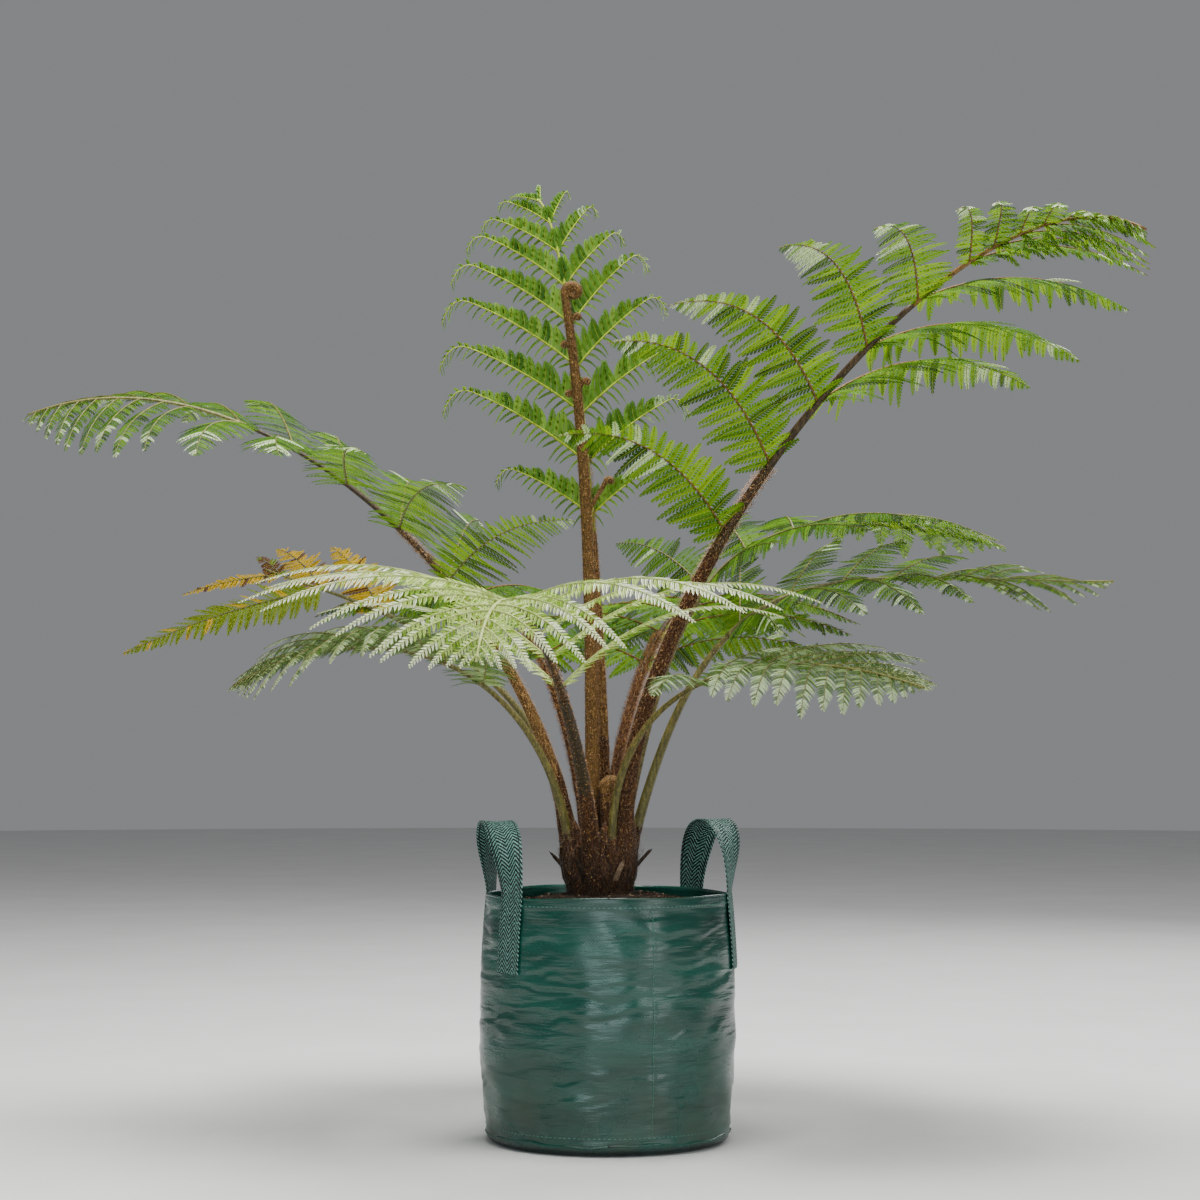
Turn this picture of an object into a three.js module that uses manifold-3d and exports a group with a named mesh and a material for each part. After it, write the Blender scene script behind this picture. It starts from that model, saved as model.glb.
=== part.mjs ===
// Tree fern in a round woven grow bag with two webbing handles.
// Millimetres, +Z up, -Y is the front, origin at the centre of the bag's flat underside.
import * as THREE from "three";
import { mergeVertices } from "three/addons/utils/BufferGeometryUtils.js";
import Module from "manifold-3d";

const wasm = await Module();
wasm.setup();

const GAP = 0.3;
const CROWN = new THREE.Vector3(-12.6, 0, 0);

// Bag
const BAG_HEIGHT = 385;
const BAG_RIM_RADIUS = 190;
const BAG_BELLY_RADIUS = 200;
const BAG_BELLY_HEIGHT = 190;
const BAG_SEAM_RADIUS = 190;
const BAG_SEAM_HEIGHT = 22;
const BAG_FOOT_RADIUS = 178;
const BAG_FOOT_CURVE = { radius: 187, height: 8, inset: 0.8 };
const BAG_WALL = 3;
const BAG_SEGMENTS = 32;
const BAG_COURSES = 4;

// Potting mix
const SOIL_EDGE_HEIGHT = 362;
const SOIL_CROWN_HEIGHT = 386;
const SOIL_MOUND_SHARES = [0.6, 0.3];

// Webbing handles: the angle of each loop's middle, counted from the front towards +X
const HANDLES = { handle_left: -77.5, handle_right: 107.5 };
const STRAP_WIDTH = 50;
const STRAP_THICKNESS = 2.5;
const HANDLE_SPAN = 175;
const HANDLE_RISE = 110;
const HANDLE_LEAN = 8;
const HANDLE_TAIL = 117;
const HANDLE_STEPS = 12;
const HANDLE_FULLNESS = 0.8;
const TAIL_SHARES = [0, 0.35, 0.7, 1];

// Caudex, the short fibrous trunk that the stipes stand in
const CAUDEX_FOOT_HEIGHT = 335;
const CAUDEX_TOP_HEIGHT = 474;
const CAUDEX_PROFILE = [
  [48, 0],
  [56, 0.28],
  [55, 0.46],
  [62, 0.7],
  [65, 0.82],
  [58, 0.94],
  [28, 1],
];
const CAUDEX_SEGMENTS = 14;
const SOCKET_GAP = GAP * 1.3;

// Cut stubs of old stipes: angle from the front, height on the caudex
const STUBS = [
  { angle: -84, height: 400 },
  { angle: 84, height: 402 },
  { angle: 26, height: 386 },
  { angle: -28, height: 392 },
  { angle: 156, height: 398 },
];
const STUB_LENGTH = 52;
const STUB_RADIUS = 8;
const STUB_TILT = 48;
const STUB_ROOT = 30;
const STUB_FLARE = 1.1;
const STUB_TAPER = 0.85;

// Frond blades
const STIPE_SIDES = 6;
const STIPE_STEPS = 8;
const RACHIS_SIDES = 4;
const RACHIS_TIP = 1.6;
const PINNA_STEPS = 12;
const PINNA_RINGS = [0, 1, 4, 8, 12];
const PINNA_SPACING_POWER = 1.5;
const PINNA_FIRST = 0.3;
const PINNA_WIDEST_AT = 0.25;
const PINNA_END = 1.01;
const PINNA_WIDTH_SHARE = 0.15;
const PINNA_GAP_SHARE = 0.46;
const PINNA_THICKNESS_SHARE = 0.0105;
const PINNA_THINNEST = 1.6;
const PINNA_THINNING = 0.4;
const PINNA_NARROWEST = 4;
const PINNA_OUTLINE = 0.7;
const PINNA_RIDGE = 0.6;
const PINNA_CLOSING = 0.35;
const ROOT_SHARE = 0.3;
const SHORTER_TRIES = [1, 0.85, 0.7, 0.55, 0.4];

const rad = THREE.MathUtils.degToRad;
const lerp = THREE.MathUtils.lerp;
const UP = new THREE.Vector3(0, 0, 1);

// Fronds. heading is the way a frond arches, in degrees from +X, and sweep its sideways bend at the tip.
// foot is where its stipe stands, from the crown's axis. The stipe sets off at lean from upright, with a
// pull of rise, and the blade ends at reach and tip height, with a pull of arch along a slope of dip.
// bare is the share of the length with no pinnae, thick the radius of the stipe's foot, neck its radius
// where the pinnae begin, wane how fast the pinnae shorten towards the tip, and loss how much shorter
// than the longest the lowest ones are.
// Each side has its longest pinna, the angle of its pinnae off the rachis, their lift above the blade at
// its base and at its tip, their sag, their hook back towards the crown, and the share of the leafy
// stretch that they start from. left is the side on the left hand of one who looks out along the frond.
const FRONDS = [
  {
    name: "upper_right",
    heading: -30,
    foot: [39.5, -20.5, 440],
    rise: 390,
    lean: -6,
    reach: 915,
    tip: 1335,
    arch: 330,
    dip: 32,
    sweep: -60,
    thick: 13,
    neck: 9,
    bare: 0.36,
    pairs: 10,
    wane: 1.2,
    loss: 0.15,
    left: { longest: 460, angle: 53, lift: [12, 0], sag: 0.85, hook: 0, from: 0.2 },
    right: { longest: 420, angle: 56, lift: [42, 10], sag: 0.65, hook: 0.35, from: 0 },
  },
  {
    name: "front",
    heading: -102,
    foot: [-14, -42, 440],
    rise: 195,
    lean: 4,
    reach: 770,
    tip: 725,
    arch: 285,
    dip: 60,
    sweep: 0,
    thick: 10.5,
    neck: 7,
    bare: 0.36,
    pairs: 10,
    wane: 1.2,
    loss: 0.15,
    left: { longest: 440, angle: 62, lift: [36, 8], sag: 0.95, hook: 0, from: 0 },
    right: { longest: 450, angle: 68, lift: [40, 10], sag: 0.92, hook: 0, from: 0 },
  },
  {
    name: "upper_left",
    heading: 180,
    foot: [-48, 8, 440],
    rise: 365,
    lean: 3,
    reach: 895,
    tip: 1130,
    arch: 395,
    dip: 22,
    sweep: 50,
    thick: 11.5,
    neck: 6.2,
    bare: 0.36,
    pairs: 10,
    wane: 0.95,
    loss: 0.15,
    left: { longest: 375, angle: 77, lift: [46, -46], sag: 0.35, hook: 0.4, from: 0 },
    right: { longest: 400, angle: 66, lift: [32, 18], sag: 0.75, hook: 0, from: 0 },
  },
  {
    name: "right",
    heading: -5,
    foot: [46, 10, 440],
    rise: 540,
    lean: 14,
    reach: 800,
    tip: 868,
    arch: 450,
    dip: 0,
    sweep: 0,
    thick: 9,
    neck: 5,
    bare: 0.38,
    pairs: 10,
    wane: 1.2,
    loss: 0.15,
    left: { longest: 350, angle: 70, lift: [33, 12], sag: 0.4, hook: 0, from: 0 },
    right: { longest: 340, angle: 69, lift: [4, 0], sag: 0.55, hook: 0, from: 0 },
  },
  {
    name: "young",
    heading: 100,
    foot: [2, 12, 445],
    rise: 600,
    lean: 3,
    reach: 130,
    tip: 1490,
    arch: 120,
    dip: 70,
    sweep: 105,
    thick: 10,
    neck: 5.5,
    bare: 0.46,
    pairs: 10,
    wane: 1,
    loss: 0.5,
    left: { longest: 285, angle: 47, lift: [5, 0], sag: 0.45, hook: 0, from: 0 },
    right: { longest: 235, angle: 47, lift: [5, 0], sag: 0.45, hook: 0, from: 0 },
  },
  {
    name: "back_right",
    heading: 25,
    foot: [30, 36, 440],
    rise: 490,
    lean: 12,
    reach: 755,
    tip: 950,
    arch: 540,
    dip: 10,
    sweep: 0,
    thick: 9.5,
    neck: 5.5,
    bare: 0.4,
    pairs: 9,
    wane: 1.2,
    loss: 0.15,
    left: { longest: 330, angle: 66, lift: [24, 8], sag: 0.6, hook: 0, from: 0 },
    right: { longest: 300, angle: 66, lift: [20, 4], sag: 0.6, hook: 0, from: 0 },
  },
  {
    name: "low_right",
    heading: -40,
    foot: [19, -42, 440],
    rise: 312,
    lean: -3,
    reach: 605,
    tip: 697,
    arch: 250,
    dip: 18,
    sweep: 0,
    thick: 7,
    neck: 3.8,
    bare: 0.42,
    pairs: 8,
    wane: 1.2,
    loss: 0.15,
    left: { longest: 235, angle: 66, lift: [30, 10], sag: 0.6, hook: 0, from: 0 },
    right: { longest: 250, angle: 66, lift: [15, -8], sag: 0.8, hook: 0, from: 0 },
  },
  {
    name: "low_left",
    heading: -165,
    foot: [-45, -22, 440],
    rise: 305,
    lean: 7,
    reach: 577,
    tip: 705,
    arch: 268,
    dip: 30,
    sweep: 0,
    thick: 8,
    neck: 4.5,
    bare: 0.4,
    pairs: 9,
    wane: 1.2,
    loss: 0.15,
    left: { longest: 320, angle: 66, lift: [35, 8], sag: 1, hook: 0, from: 0 },
    right: { longest: 300, angle: 66, lift: [35, 10], sag: 0.7, hook: 0, from: 0 },
  },
  {
    name: "yellow",
    heading: 158,
    foot: [-38, 34, 440],
    rise: 340,
    lean: 7,
    reach: 600,
    tip: 905,
    arch: 190,
    dip: -20,
    sweep: 0,
    thick: 7.5,
    neck: 4.5,
    bare: 0.66,
    pairs: 3,
    wane: 0.8,
    loss: 0.15,
    left: { longest: 415, angle: 50, lift: [-36, -36], sag: 0.3, hook: 0, from: 0.3 },
    right: { longest: 200, angle: 38, lift: [45, 45], sag: 0.5, hook: 0, from: 0 },
  },
  {
    name: "back",
    heading: 68,
    foot: [8, 50, 440],
    rise: 330,
    lean: 14,
    reach: 690,
    tip: 820,
    arch: 330,
    dip: 26,
    sweep: 0,
    thick: 10,
    neck: 6,
    bare: 0.38,
    pairs: 9,
    wane: 1.2,
    loss: 0.15,
    left: { longest: 330, angle: 66, lift: [18, 0], sag: 0.8, hook: 0, from: 0 },
    right: { longest: 330, angle: 66, lift: [18, 0], sag: 0.8, hook: 0, from: 0 },
  },
  {
    name: "back_left",
    heading: 118,
    foot: [-16, 50, 440],
    rise: 330,
    lean: 13,
    reach: 700,
    tip: 840,
    arch: 340,
    dip: 26,
    sweep: 0,
    thick: 10,
    neck: 6,
    bare: 0.38,
    pairs: 9,
    wane: 1.2,
    loss: 0.15,
    left: { longest: 330, angle: 66, lift: [18, 0], sag: 0.8, hook: 0, from: 0 },
    right: { longest: 330, angle: 66, lift: [18, 0], sag: 0.8, hook: 0, from: 0 },
  },
];

// Croziers, the fronds that are still coiled. coil is the outer radius of the coil's middle line.
const CROZIERS = [
  {
    name: "crozier_tall",
    foot: [-6, -12, 445],
    height: 1330,
    drift: -50,
    thick: 11,
    thin: 6,
    coil: 12.5,
    turns: 1.15,
    buds: [
      { at: 0.6, side: 1, stalk: 62, coil: 6 },
      { at: 0.8, side: -1, stalk: 16, coil: 6 },
      { at: 0.82, side: 1, stalk: 18, coil: 6 },
      { at: 0.89, side: -1, stalk: 14, coil: 6 },
      { at: 0.94, side: 1, stalk: 14, coil: 6 },
    ],
  },
  {
    name: "crozier_low",
    foot: [14, -25, 445],
    height: 551,
    drift: -6,
    thick: 8.5,
    thin: 8.5,
    coil: 12,
    turns: 0.7,
    buds: [],
  },
];

const COIL_STEPS_PER_TURN = 10;
const COIL_TIGHTENING = 0.62;
const COIL_THINNING = 0.35;
const STEM_STEP = 150;
const BUD = { stalk: 2.8, neck: 3.2, coil: 3.8, turns: 0.75, sides: 5, way: [0.5, 0, 0.86] };

const FINISHES = {
  bag: { color: 0x10241a, roughness: 0.35 },
  webbing: { color: 0x17301f, roughness: 0.8 },
  soil: { color: 0x2a1f17, roughness: 1 },
  fibre: { color: 0x33241a, roughness: 1 },
  stub: { color: 0x6b4f35, roughness: 0.9 },
  hairy: { color: 0x8a5a2b, roughness: 0.9 },
  olive: { color: 0x5a5a2c, roughness: 0.6 },
  green: { color: 0x4f8a2a, roughness: 0.5 },
  fresh: { color: 0x7fb33f, roughness: 0.5 },
  pale: { color: 0x93b36a, roughness: 0.5 },
  yellow: { color: 0xb9a33a, roughness: 0.7 },
};
const FROND_FINISHES = {
  young: "fresh",
  front: "pale",
  low_right: "pale",
  low_left: "pale",
  yellow: "yellow",
};
const HAIRY_STIPES = ["upper_right", "upper_left", "front", "young", "back", "back_left"];

// Turns a closed geometry into a solid that can be cut and joined.
function solidOf(geometry) {
  const bare = new THREE.BufferGeometry();
  bare.setAttribute("position", geometry.getAttribute("position"));
  bare.setIndex(geometry.index);
  const merged = mergeVertices(bare, 1e-4);
  return new wasm.Manifold(
    new wasm.Mesh({
      numProp: 3,
      vertProperties: merged.attributes.position.array,
      triVerts: new Uint32Array(merged.index.array),
    }),
  );
}

// Gives a solid back as a geometry.
function geometryOf(solid) {
  const mesh = solid.getMesh();
  const geometry = new THREE.BufferGeometry();
  geometry.setAttribute("position", new THREE.BufferAttribute(mesh.vertProperties, 3));
  geometry.setIndex(new THREE.BufferAttribute(mesh.triVerts, 1));
  geometry.computeVertexNormals();
  return geometry;
}

// Skins a list of rings, each a list of points in the same turn. A ring of one point is a tip.
function loft(rings) {
  const points = rings.flat();
  const starts = [];
  let total = 0;
  for (const ring of rings) {
    starts.push(total);
    total += ring.length;
  }
  const faces = [];
  for (let r = 0; r + 1 < rings.length; r++) {
    const sides = Math.max(rings[r].length, rings[r + 1].length);
    for (let i = 0; i < sides; i++) {
      const j = (i + 1) % sides;
      const a = starts[r] + (i % rings[r].length);
      const b = starts[r] + (j % rings[r].length);
      const c = starts[r + 1] + (j % rings[r + 1].length);
      const d = starts[r + 1] + (i % rings[r + 1].length);
      if (a !== b) faces.push([a, b, c]);
      if (c !== d) faces.push([a, c, d]);
    }
  }
  for (let i = 2; i < rings[0].length; i++) faces.push([0, i, i - 1]);
  const last = starts[rings.length - 1];
  for (let i = 2; i < rings.at(-1).length; i++) faces.push([last, last + i - 1, last + i]);
  let volume = 0;
  for (const [a, b, c] of faces) {
    volume += points[a].dot(new THREE.Vector3().crossVectors(points[b], points[c]));
  }
  if (volume < 0) for (const face of faces) face.reverse();
  const geometry = new THREE.BufferGeometry().setFromPoints(points);
  geometry.setIndex(faces.flat());
  return geometry;
}

// A ring of points round a place, square to a direction.
function ring(place, along, side, radius, sides) {
  const across = side.clone().addScaledVector(along, -side.dot(along)).normalize();
  const other = new THREE.Vector3().crossVectors(along, across);
  return Array.from({ length: sides }, (_, i) => {
    const turn = (2 * Math.PI * i) / sides;
    return place
      .clone()
      .addScaledVector(across, radius * Math.cos(turn))
      .addScaledVector(other, radius * Math.sin(turn));
  });
}

// Direction seen from above at an angle counted from the front towards +X.
function fromFront(degrees) {
  return new THREE.Vector3(Math.sin(rad(degrees)), -Math.cos(rad(degrees)), 0);
}

// Outer radius of the bag's wall at a height above the seam.
function wallRadius(height) {
  const belly = BAG_BELLY_HEIGHT;
  const span = height < belly ? belly - BAG_SEAM_HEIGHT : BAG_HEIGHT - belly;
  const edge = height < belly ? BAG_SEAM_RADIUS : BAG_RIM_RADIUS;
  const share = Math.abs(height - belly) / span;
  return BAG_BELLY_RADIUS - (BAG_BELLY_RADIUS - edge) * share * share;
}

// Profile of the bag's outside, or of a surface inside it, from the underside's rim to the top.
function bagProfile(inset) {
  const share = inset * BAG_FOOT_CURVE.inset;
  const points = [
    [BAG_FOOT_RADIUS - inset, inset],
    [BAG_FOOT_CURVE.radius - share, BAG_FOOT_CURVE.height + share],
    [BAG_SEAM_RADIUS - inset, BAG_SEAM_HEIGHT],
  ];
  for (let i = 1; i <= BAG_COURSES; i++) {
    const height = lerp(BAG_SEAM_HEIGHT, BAG_HEIGHT, i / BAG_COURSES);
    points.push([wallRadius(height) - inset, height]);
  }
  return points;
}

// Turns a profile of radii and heights round the Z axis.
function turned(profile, segments) {
  const outline = profile.map(([r, z]) => new THREE.Vector2(r, z));
  return new THREE.LatheGeometry(outline, segments).rotateX(Math.PI / 2);
}

function makeBag() {
  const outside = bagProfile(0);
  const inside = bagProfile(BAG_WALL).reverse();
  return solidOf(turned([[0, 0], ...outside, ...inside, [0, BAG_WALL]], BAG_SEGMENTS));
}

function makeSoil(caudexRoom) {
  const inset = BAG_WALL + GAP;
  const wall = bagProfile(inset);
  const [rimRadius, rimHeight] = wall.pop();
  const [lowRadius, lowHeight] = wall.at(-1);
  const edge = lerp(lowRadius, rimRadius, (SOIL_EDGE_HEIGHT - lowHeight) / (rimHeight - lowHeight));
  wall.push([edge, SOIL_EDGE_HEIGHT]);
  const mound = SOIL_MOUND_SHARES.map((share) => [
    edge * share,
    lerp(SOIL_CROWN_HEIGHT, SOIL_EDGE_HEIGHT, share * share),
  ]);
  const profile = [[0, inset], ...wall, ...mound, [0, SOIL_CROWN_HEIGHT]];
  return solidOf(turned(profile, BAG_SEGMENTS)).subtract(caudexRoom);
}

// One handle: two tails sewn flat on the wall and a loop that turns its width from along the wall to
// square to it.
function makeHandle(angle) {
  const out = fromFront(angle);
  const along = new THREE.Vector3().crossVectors(UP, out);
  const stand = GAP + STRAP_THICKNESS / 2;
  const legAngle = Math.asin(HANDLE_SPAN / 2 / BAG_RIM_RADIUS);
  const stations = [];
  const leg = (side, height) => {
    const radius = wallRadius(height) + stand;
    const turn = side * legAngle;
    return {
      place: out
        .clone()
        .multiplyScalar(radius * Math.cos(turn))
        .addScaledVector(along, radius * Math.sin(turn))
        .setZ(height),
      turn: side < 0 ? legAngle : Math.PI - legAngle,
    };
  };
  const tailHeights = TAIL_SHARES.map((t) => BAG_HEIGHT - HANDLE_TAIL * (1 - t));
  const feet = [-1, 1].map((side) => leg(side, BAG_HEIGHT));
  for (const height of tailHeights) stations.push(leg(-1, height));
  for (let i = 1; i < HANDLE_STEPS; i++) {
    const share = i / HANDLE_STEPS;
    const swing = Math.PI * share;
    const place = feet[0].place.clone().lerp(feet[1].place, (1 - Math.cos(swing)) / 2);
    place.z += HANDLE_RISE * Math.sin(swing) ** HANDLE_FULLNESS;
    place.addScaledVector(out, HANDLE_LEAN * Math.sin(swing));
    stations.push({ place, turn: lerp(legAngle, Math.PI - legAngle, share) });
  }
  for (const height of tailHeights.toReversed()) stations.push(leg(1, height));
  const rings = stations.map(({ place, turn }, i) => {
    const before = stations[Math.max(i - 1, 0)].place;
    const after = stations[Math.min(i + 1, stations.length - 1)].place;
    const run = after.clone().sub(before).normalize();
    const width = along.clone().multiplyScalar(Math.cos(turn)).addScaledVector(out, Math.sin(turn));
    width.addScaledVector(run, -width.dot(run)).normalize().multiplyScalar(STRAP_WIDTH / 2);
    const depth = new THREE.Vector3().crossVectors(run, width).normalize();
    depth.multiplyScalar(STRAP_THICKNESS / 2);
    return [
      place.clone().add(width).add(depth),
      place.clone().sub(width).add(depth),
      place.clone().sub(width).sub(depth),
      place.clone().add(width).sub(depth),
    ];
  });
  return solidOf(loft(rings));
}

// The caudex's body, or with a margin the room that it needs in the potting mix.
function caudexBody(margin) {
  const height = CAUDEX_TOP_HEIGHT - CAUDEX_FOOT_HEIGHT;
  const profile = CAUDEX_PROFILE.map(([radius, share]) => [
    radius + margin,
    CAUDEX_FOOT_HEIGHT + height * share + margin * (Math.floor(share) - (share ? 0 : 1)),
  ]);
  const closed = [[0, profile[0][1]], ...profile, [0, profile.at(-1)[1]]];
  return solidOf(turned(closed, CAUDEX_SEGMENTS)).translate(CROWN.toArray());
}

function makeStub({ angle, height }, margin) {
  const out = fromFront(angle);
  const start = CROWN.clone().addScaledVector(out, STUB_ROOT).setZ(height);
  const run = out
    .clone()
    .multiplyScalar(Math.sin(rad(STUB_TILT)))
    .addScaledVector(UP, Math.cos(rad(STUB_TILT)));
  const side = new THREE.Vector3().crossVectors(UP, out);
  const rings = [0, 0.5, 1].map((share) =>
    ring(
      start.clone().addScaledVector(run, STUB_LENGTH * share - (share ? 0 : margin)),
      run,
      side,
      STUB_RADIUS * lerp(STUB_FLARE, STUB_TAPER, share) + margin,
      STIPE_SIDES,
    ),
  );
  return solidOf(loft(rings));
}

// The middle line of a frond, from its foot to its tip.
function frondLine(frond) {
  const heading = rad(frond.heading);
  const out = new THREE.Vector3(Math.cos(heading), Math.sin(heading), 0);
  const side = new THREE.Vector3(-out.y, out.x, 0);
  const foot = CROWN.clone().add(new THREE.Vector3(...frond.foot));
  const lean = rad(frond.lean);
  const dip = rad(frond.dip);
  const rising = foot
    .clone()
    .addScaledVector(out, frond.rise * Math.sin(lean))
    .addScaledVector(UP, frond.rise * Math.cos(lean));
  const end = CROWN.clone()
    .addScaledVector(out, frond.reach)
    .addScaledVector(side, frond.sweep)
    .setZ(frond.tip);
  const arching = end
    .clone()
    .addScaledVector(out, -frond.arch * Math.cos(dip))
    .addScaledVector(UP, frond.arch * Math.sin(dip))
    .addScaledVector(side, -frond.sweep / 2);
  return { curve: new THREE.CubicBezierCurve3(foot, rising, arching, end), side };
}

// Place and directions at a share of a frond's length: along it, to its left and up out of the blade.
function frondFrame(line, share) {
  const place = line.curve.getPointAt(share);
  const along = line.curve.getTangentAt(share);
  const left = line.side.clone().addScaledVector(along, -line.side.dot(along)).normalize();
  const top = new THREE.Vector3().crossVectors(along, left);
  return { place, along, left, top };
}

// A round stalk along a frond's line, with a ring at each of the given shares of its length. margin
// grows it all round and at its foot, for the socket that it stands in.
function stalk(line, shares, thick, thin, sides, margin) {
  const rings = shares.map((share, i) => {
    const { place, along, left } = frondFrame(line, share);
    const part = (share - shares[0]) / (shares.at(-1) - shares[0]);
    const seat = i ? place : place.addScaledVector(along, -margin);
    return ring(seat, along, left, lerp(thick, thin, part) + margin, sides);
  });
  return solidOf(loft(rings));
}

function makeStipe({ bare, thick, neck }, line, margin) {
  return stalk(line, evenly(0, bare, STIPE_STEPS), thick, neck, STIPE_SIDES, margin);
}

// Even shares from one value to another.
function evenly(from, to, steps) {
  return Array.from({ length: steps + 1 }, (_, i) => lerp(from, to, i / steps));
}

// Length of a pinna as a share of the longest, at a share of the leafy stretch.
function pinnaLength(share, { loss, wane }) {
  if (share < PINNA_WIDEST_AT) return 1 - loss * (1 - share / PINNA_WIDEST_AT) ** 2;
  return (1 - ((share - PINNA_WIDEST_AT) / (PINNA_END - PINNA_WIDEST_AT)) ** 2) ** wane;
}

// Share of the leafy stretch where pair number index of a frond stands.
function pairPlace(frond, index) {
  return 1 - (1 - (index + PINNA_FIRST) / frond.pairs) ** PINNA_SPACING_POWER;
}

// Middle line of a pinna, in equal steps from a root that is sunk a little off the rachis's middle. Each
// point has the way the pinna runs there and its upper side, which turns no more than the bend needs.
function pinnaLine(frame, sign, habit, length, share, sunk) {
  const angle = rad(habit.angle * (1 - PINNA_CLOSING * share ** 3));
  const lift = rad(lerp(habit.lift[0], habit.lift[1], share));
  const start = frame.along.clone().multiplyScalar(Math.cos(angle));
  start.addScaledVector(frame.left, sign * Math.sin(angle) * Math.cos(lift));
  start.addScaledVector(frame.top, Math.sin(angle) * Math.sin(lift));
  let top = new THREE.Vector3().crossVectors(frame.along, start).multiplyScalar(sign).normalize();
  const points = [{ place: frame.place.clone().addScaledVector(start, sunk), run: start, top }];
  for (let i = 0; i < PINNA_STEPS; i++) {
    const part = (i + 0.5) / PINNA_STEPS;
    const run = start
      .clone()
      .addScaledVector(UP, -habit.sag * part)
      .addScaledVector(frame.along, -habit.hook * part)
      .normalize();
    const place = points[i].place.clone().addScaledVector(run, length / PINNA_STEPS);
    top = top.clone().addScaledVector(run, -top.dot(run)).normalize();
    points.push({ place, run, top });
  }
  return points;
}

// One pinna as a thin blade with a low ridge, its root sunk in the rachis. margin thickens it, to test
// how near others are.
function pinnaBlade(line, length, width, rachis, margin) {
  const rings = PINNA_RINGS.map((step) => {
    const { place, run, top } = line[step];
    const share = step / PINNA_STEPS;
    if (share === 1) return [place.clone()];
    const full = Math.max(length * PINNA_THICKNESS_SHARE, PINNA_THINNEST) * (1 - PINNA_THINNING * share);
    const wide = (step ? width * Math.sin(Math.PI * share ** PINNA_OUTLINE) : rachis * ROOT_SHARE) + margin;
    const thick = (step ? full : rachis * ROOT_SHARE * 2) + margin;
    const across = new THREE.Vector3().crossVectors(run, top);
    const below = place.clone().addScaledVector(top, (PINNA_RIDGE - 1) * thick);
    return [
      below.clone().addScaledVector(across, wide),
      place.clone().addScaledVector(top, PINNA_RIDGE * thick),
      below.clone().addScaledVector(across, -wide),
    ];
  });
  return solidOf(loft(rings));
}

// Whether a solid meets any of the others.
function meets(solid, others) {
  const box = solid.boundingBox();
  return others.some((other) => {
    const room = other.boundingBox();
    const apart = [0, 1, 2].some((k) => box.max[k] < room.min[k] || box.min[k] > room.max[k]);
    return !apart && solid.intersect(other).volume() > 0;
  });
}

// A frond's blade: the rachis with a pair of pinnae at each place. A pinna that would touch a neighbour
// is made shorter, or left out.
function makeBlade(frond, line, others) {
  const rachisStart = frond.bare + GAP / line.curve.getLength();
  const places = evenly(0, frond.pairs - 1, frond.pairs - 1).map((i) => pairPlace(frond, i));
  const shares = places.map((share) => lerp(frond.bare, 1, share));
  const stations = [rachisStart, ...shares, 1];
  let blade = stalk(line, stations, frond.neck, RACHIS_TIP, RACHIS_SIDES, 0);
  for (const [index, share] of places.entries()) {
    const next = places[index + 1] ?? 1;
    const leafy = line.curve.getLength() * (1 - frond.bare);
    const frame = frondFrame(line, shares[index]);
    const rachis = lerp(frond.neck, RACHIS_TIP, share);
    for (const [sign, habit] of [
      [1, frond.left],
      [-1, frond.right],
    ]) {
      if (share < habit.from) continue;
      const full = habit.longest * pinnaLength(share, frond);
      const room = (next - share) * leafy * Math.sin(rad(habit.angle)) * PINNA_GAP_SHARE;
      for (const shorter of SHORTER_TRIES) {
        const length = full * shorter;
        const width = Math.min(length * PINNA_WIDTH_SHARE, Math.max(room, PINNA_NARROWEST));
        const middle = pinnaLine(frame, sign, habit, length, share, rachis * ROOT_SHARE);
        if (meets(pinnaBlade(middle, length, width, rachis, 1), others)) continue;
        blade = blade.add(pinnaBlade(middle, length, width, rachis, 0));
        break;
      }
    }
  }
  return blade;
}

// A flat coil that a stalk ends in, to the right of it. Gives the middle line and its radii.
function coilLine(top, across, radius, turns, thick) {
  const steps = Math.round(turns * COIL_STEPS_PER_TURN);
  return Array.from({ length: steps }, (_, i) => {
    const share = (i + 1) / steps;
    const swing = 2 * Math.PI * turns * share;
    const reach = radius * (1 - COIL_TIGHTENING * share);
    return {
      place: top
        .clone()
        .addScaledVector(across, radius - reach * Math.cos(swing))
        .addScaledVector(UP, reach * Math.sin(swing)),
      radius: lerp(thick, thick * COIL_THINNING, share),
    };
  });
}

// A tube through stations, each with its own radius.
function tube(stations, side, sides) {
  const rings = stations.map(({ place, radius }, i) => {
    const before = stations[Math.max(i - 1, 0)].place;
    const after = stations[Math.min(i + 1, stations.length - 1)].place;
    return ring(place, after.clone().sub(before).normalize(), side, radius, sides);
  });
  return solidOf(loft(rings));
}

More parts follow.
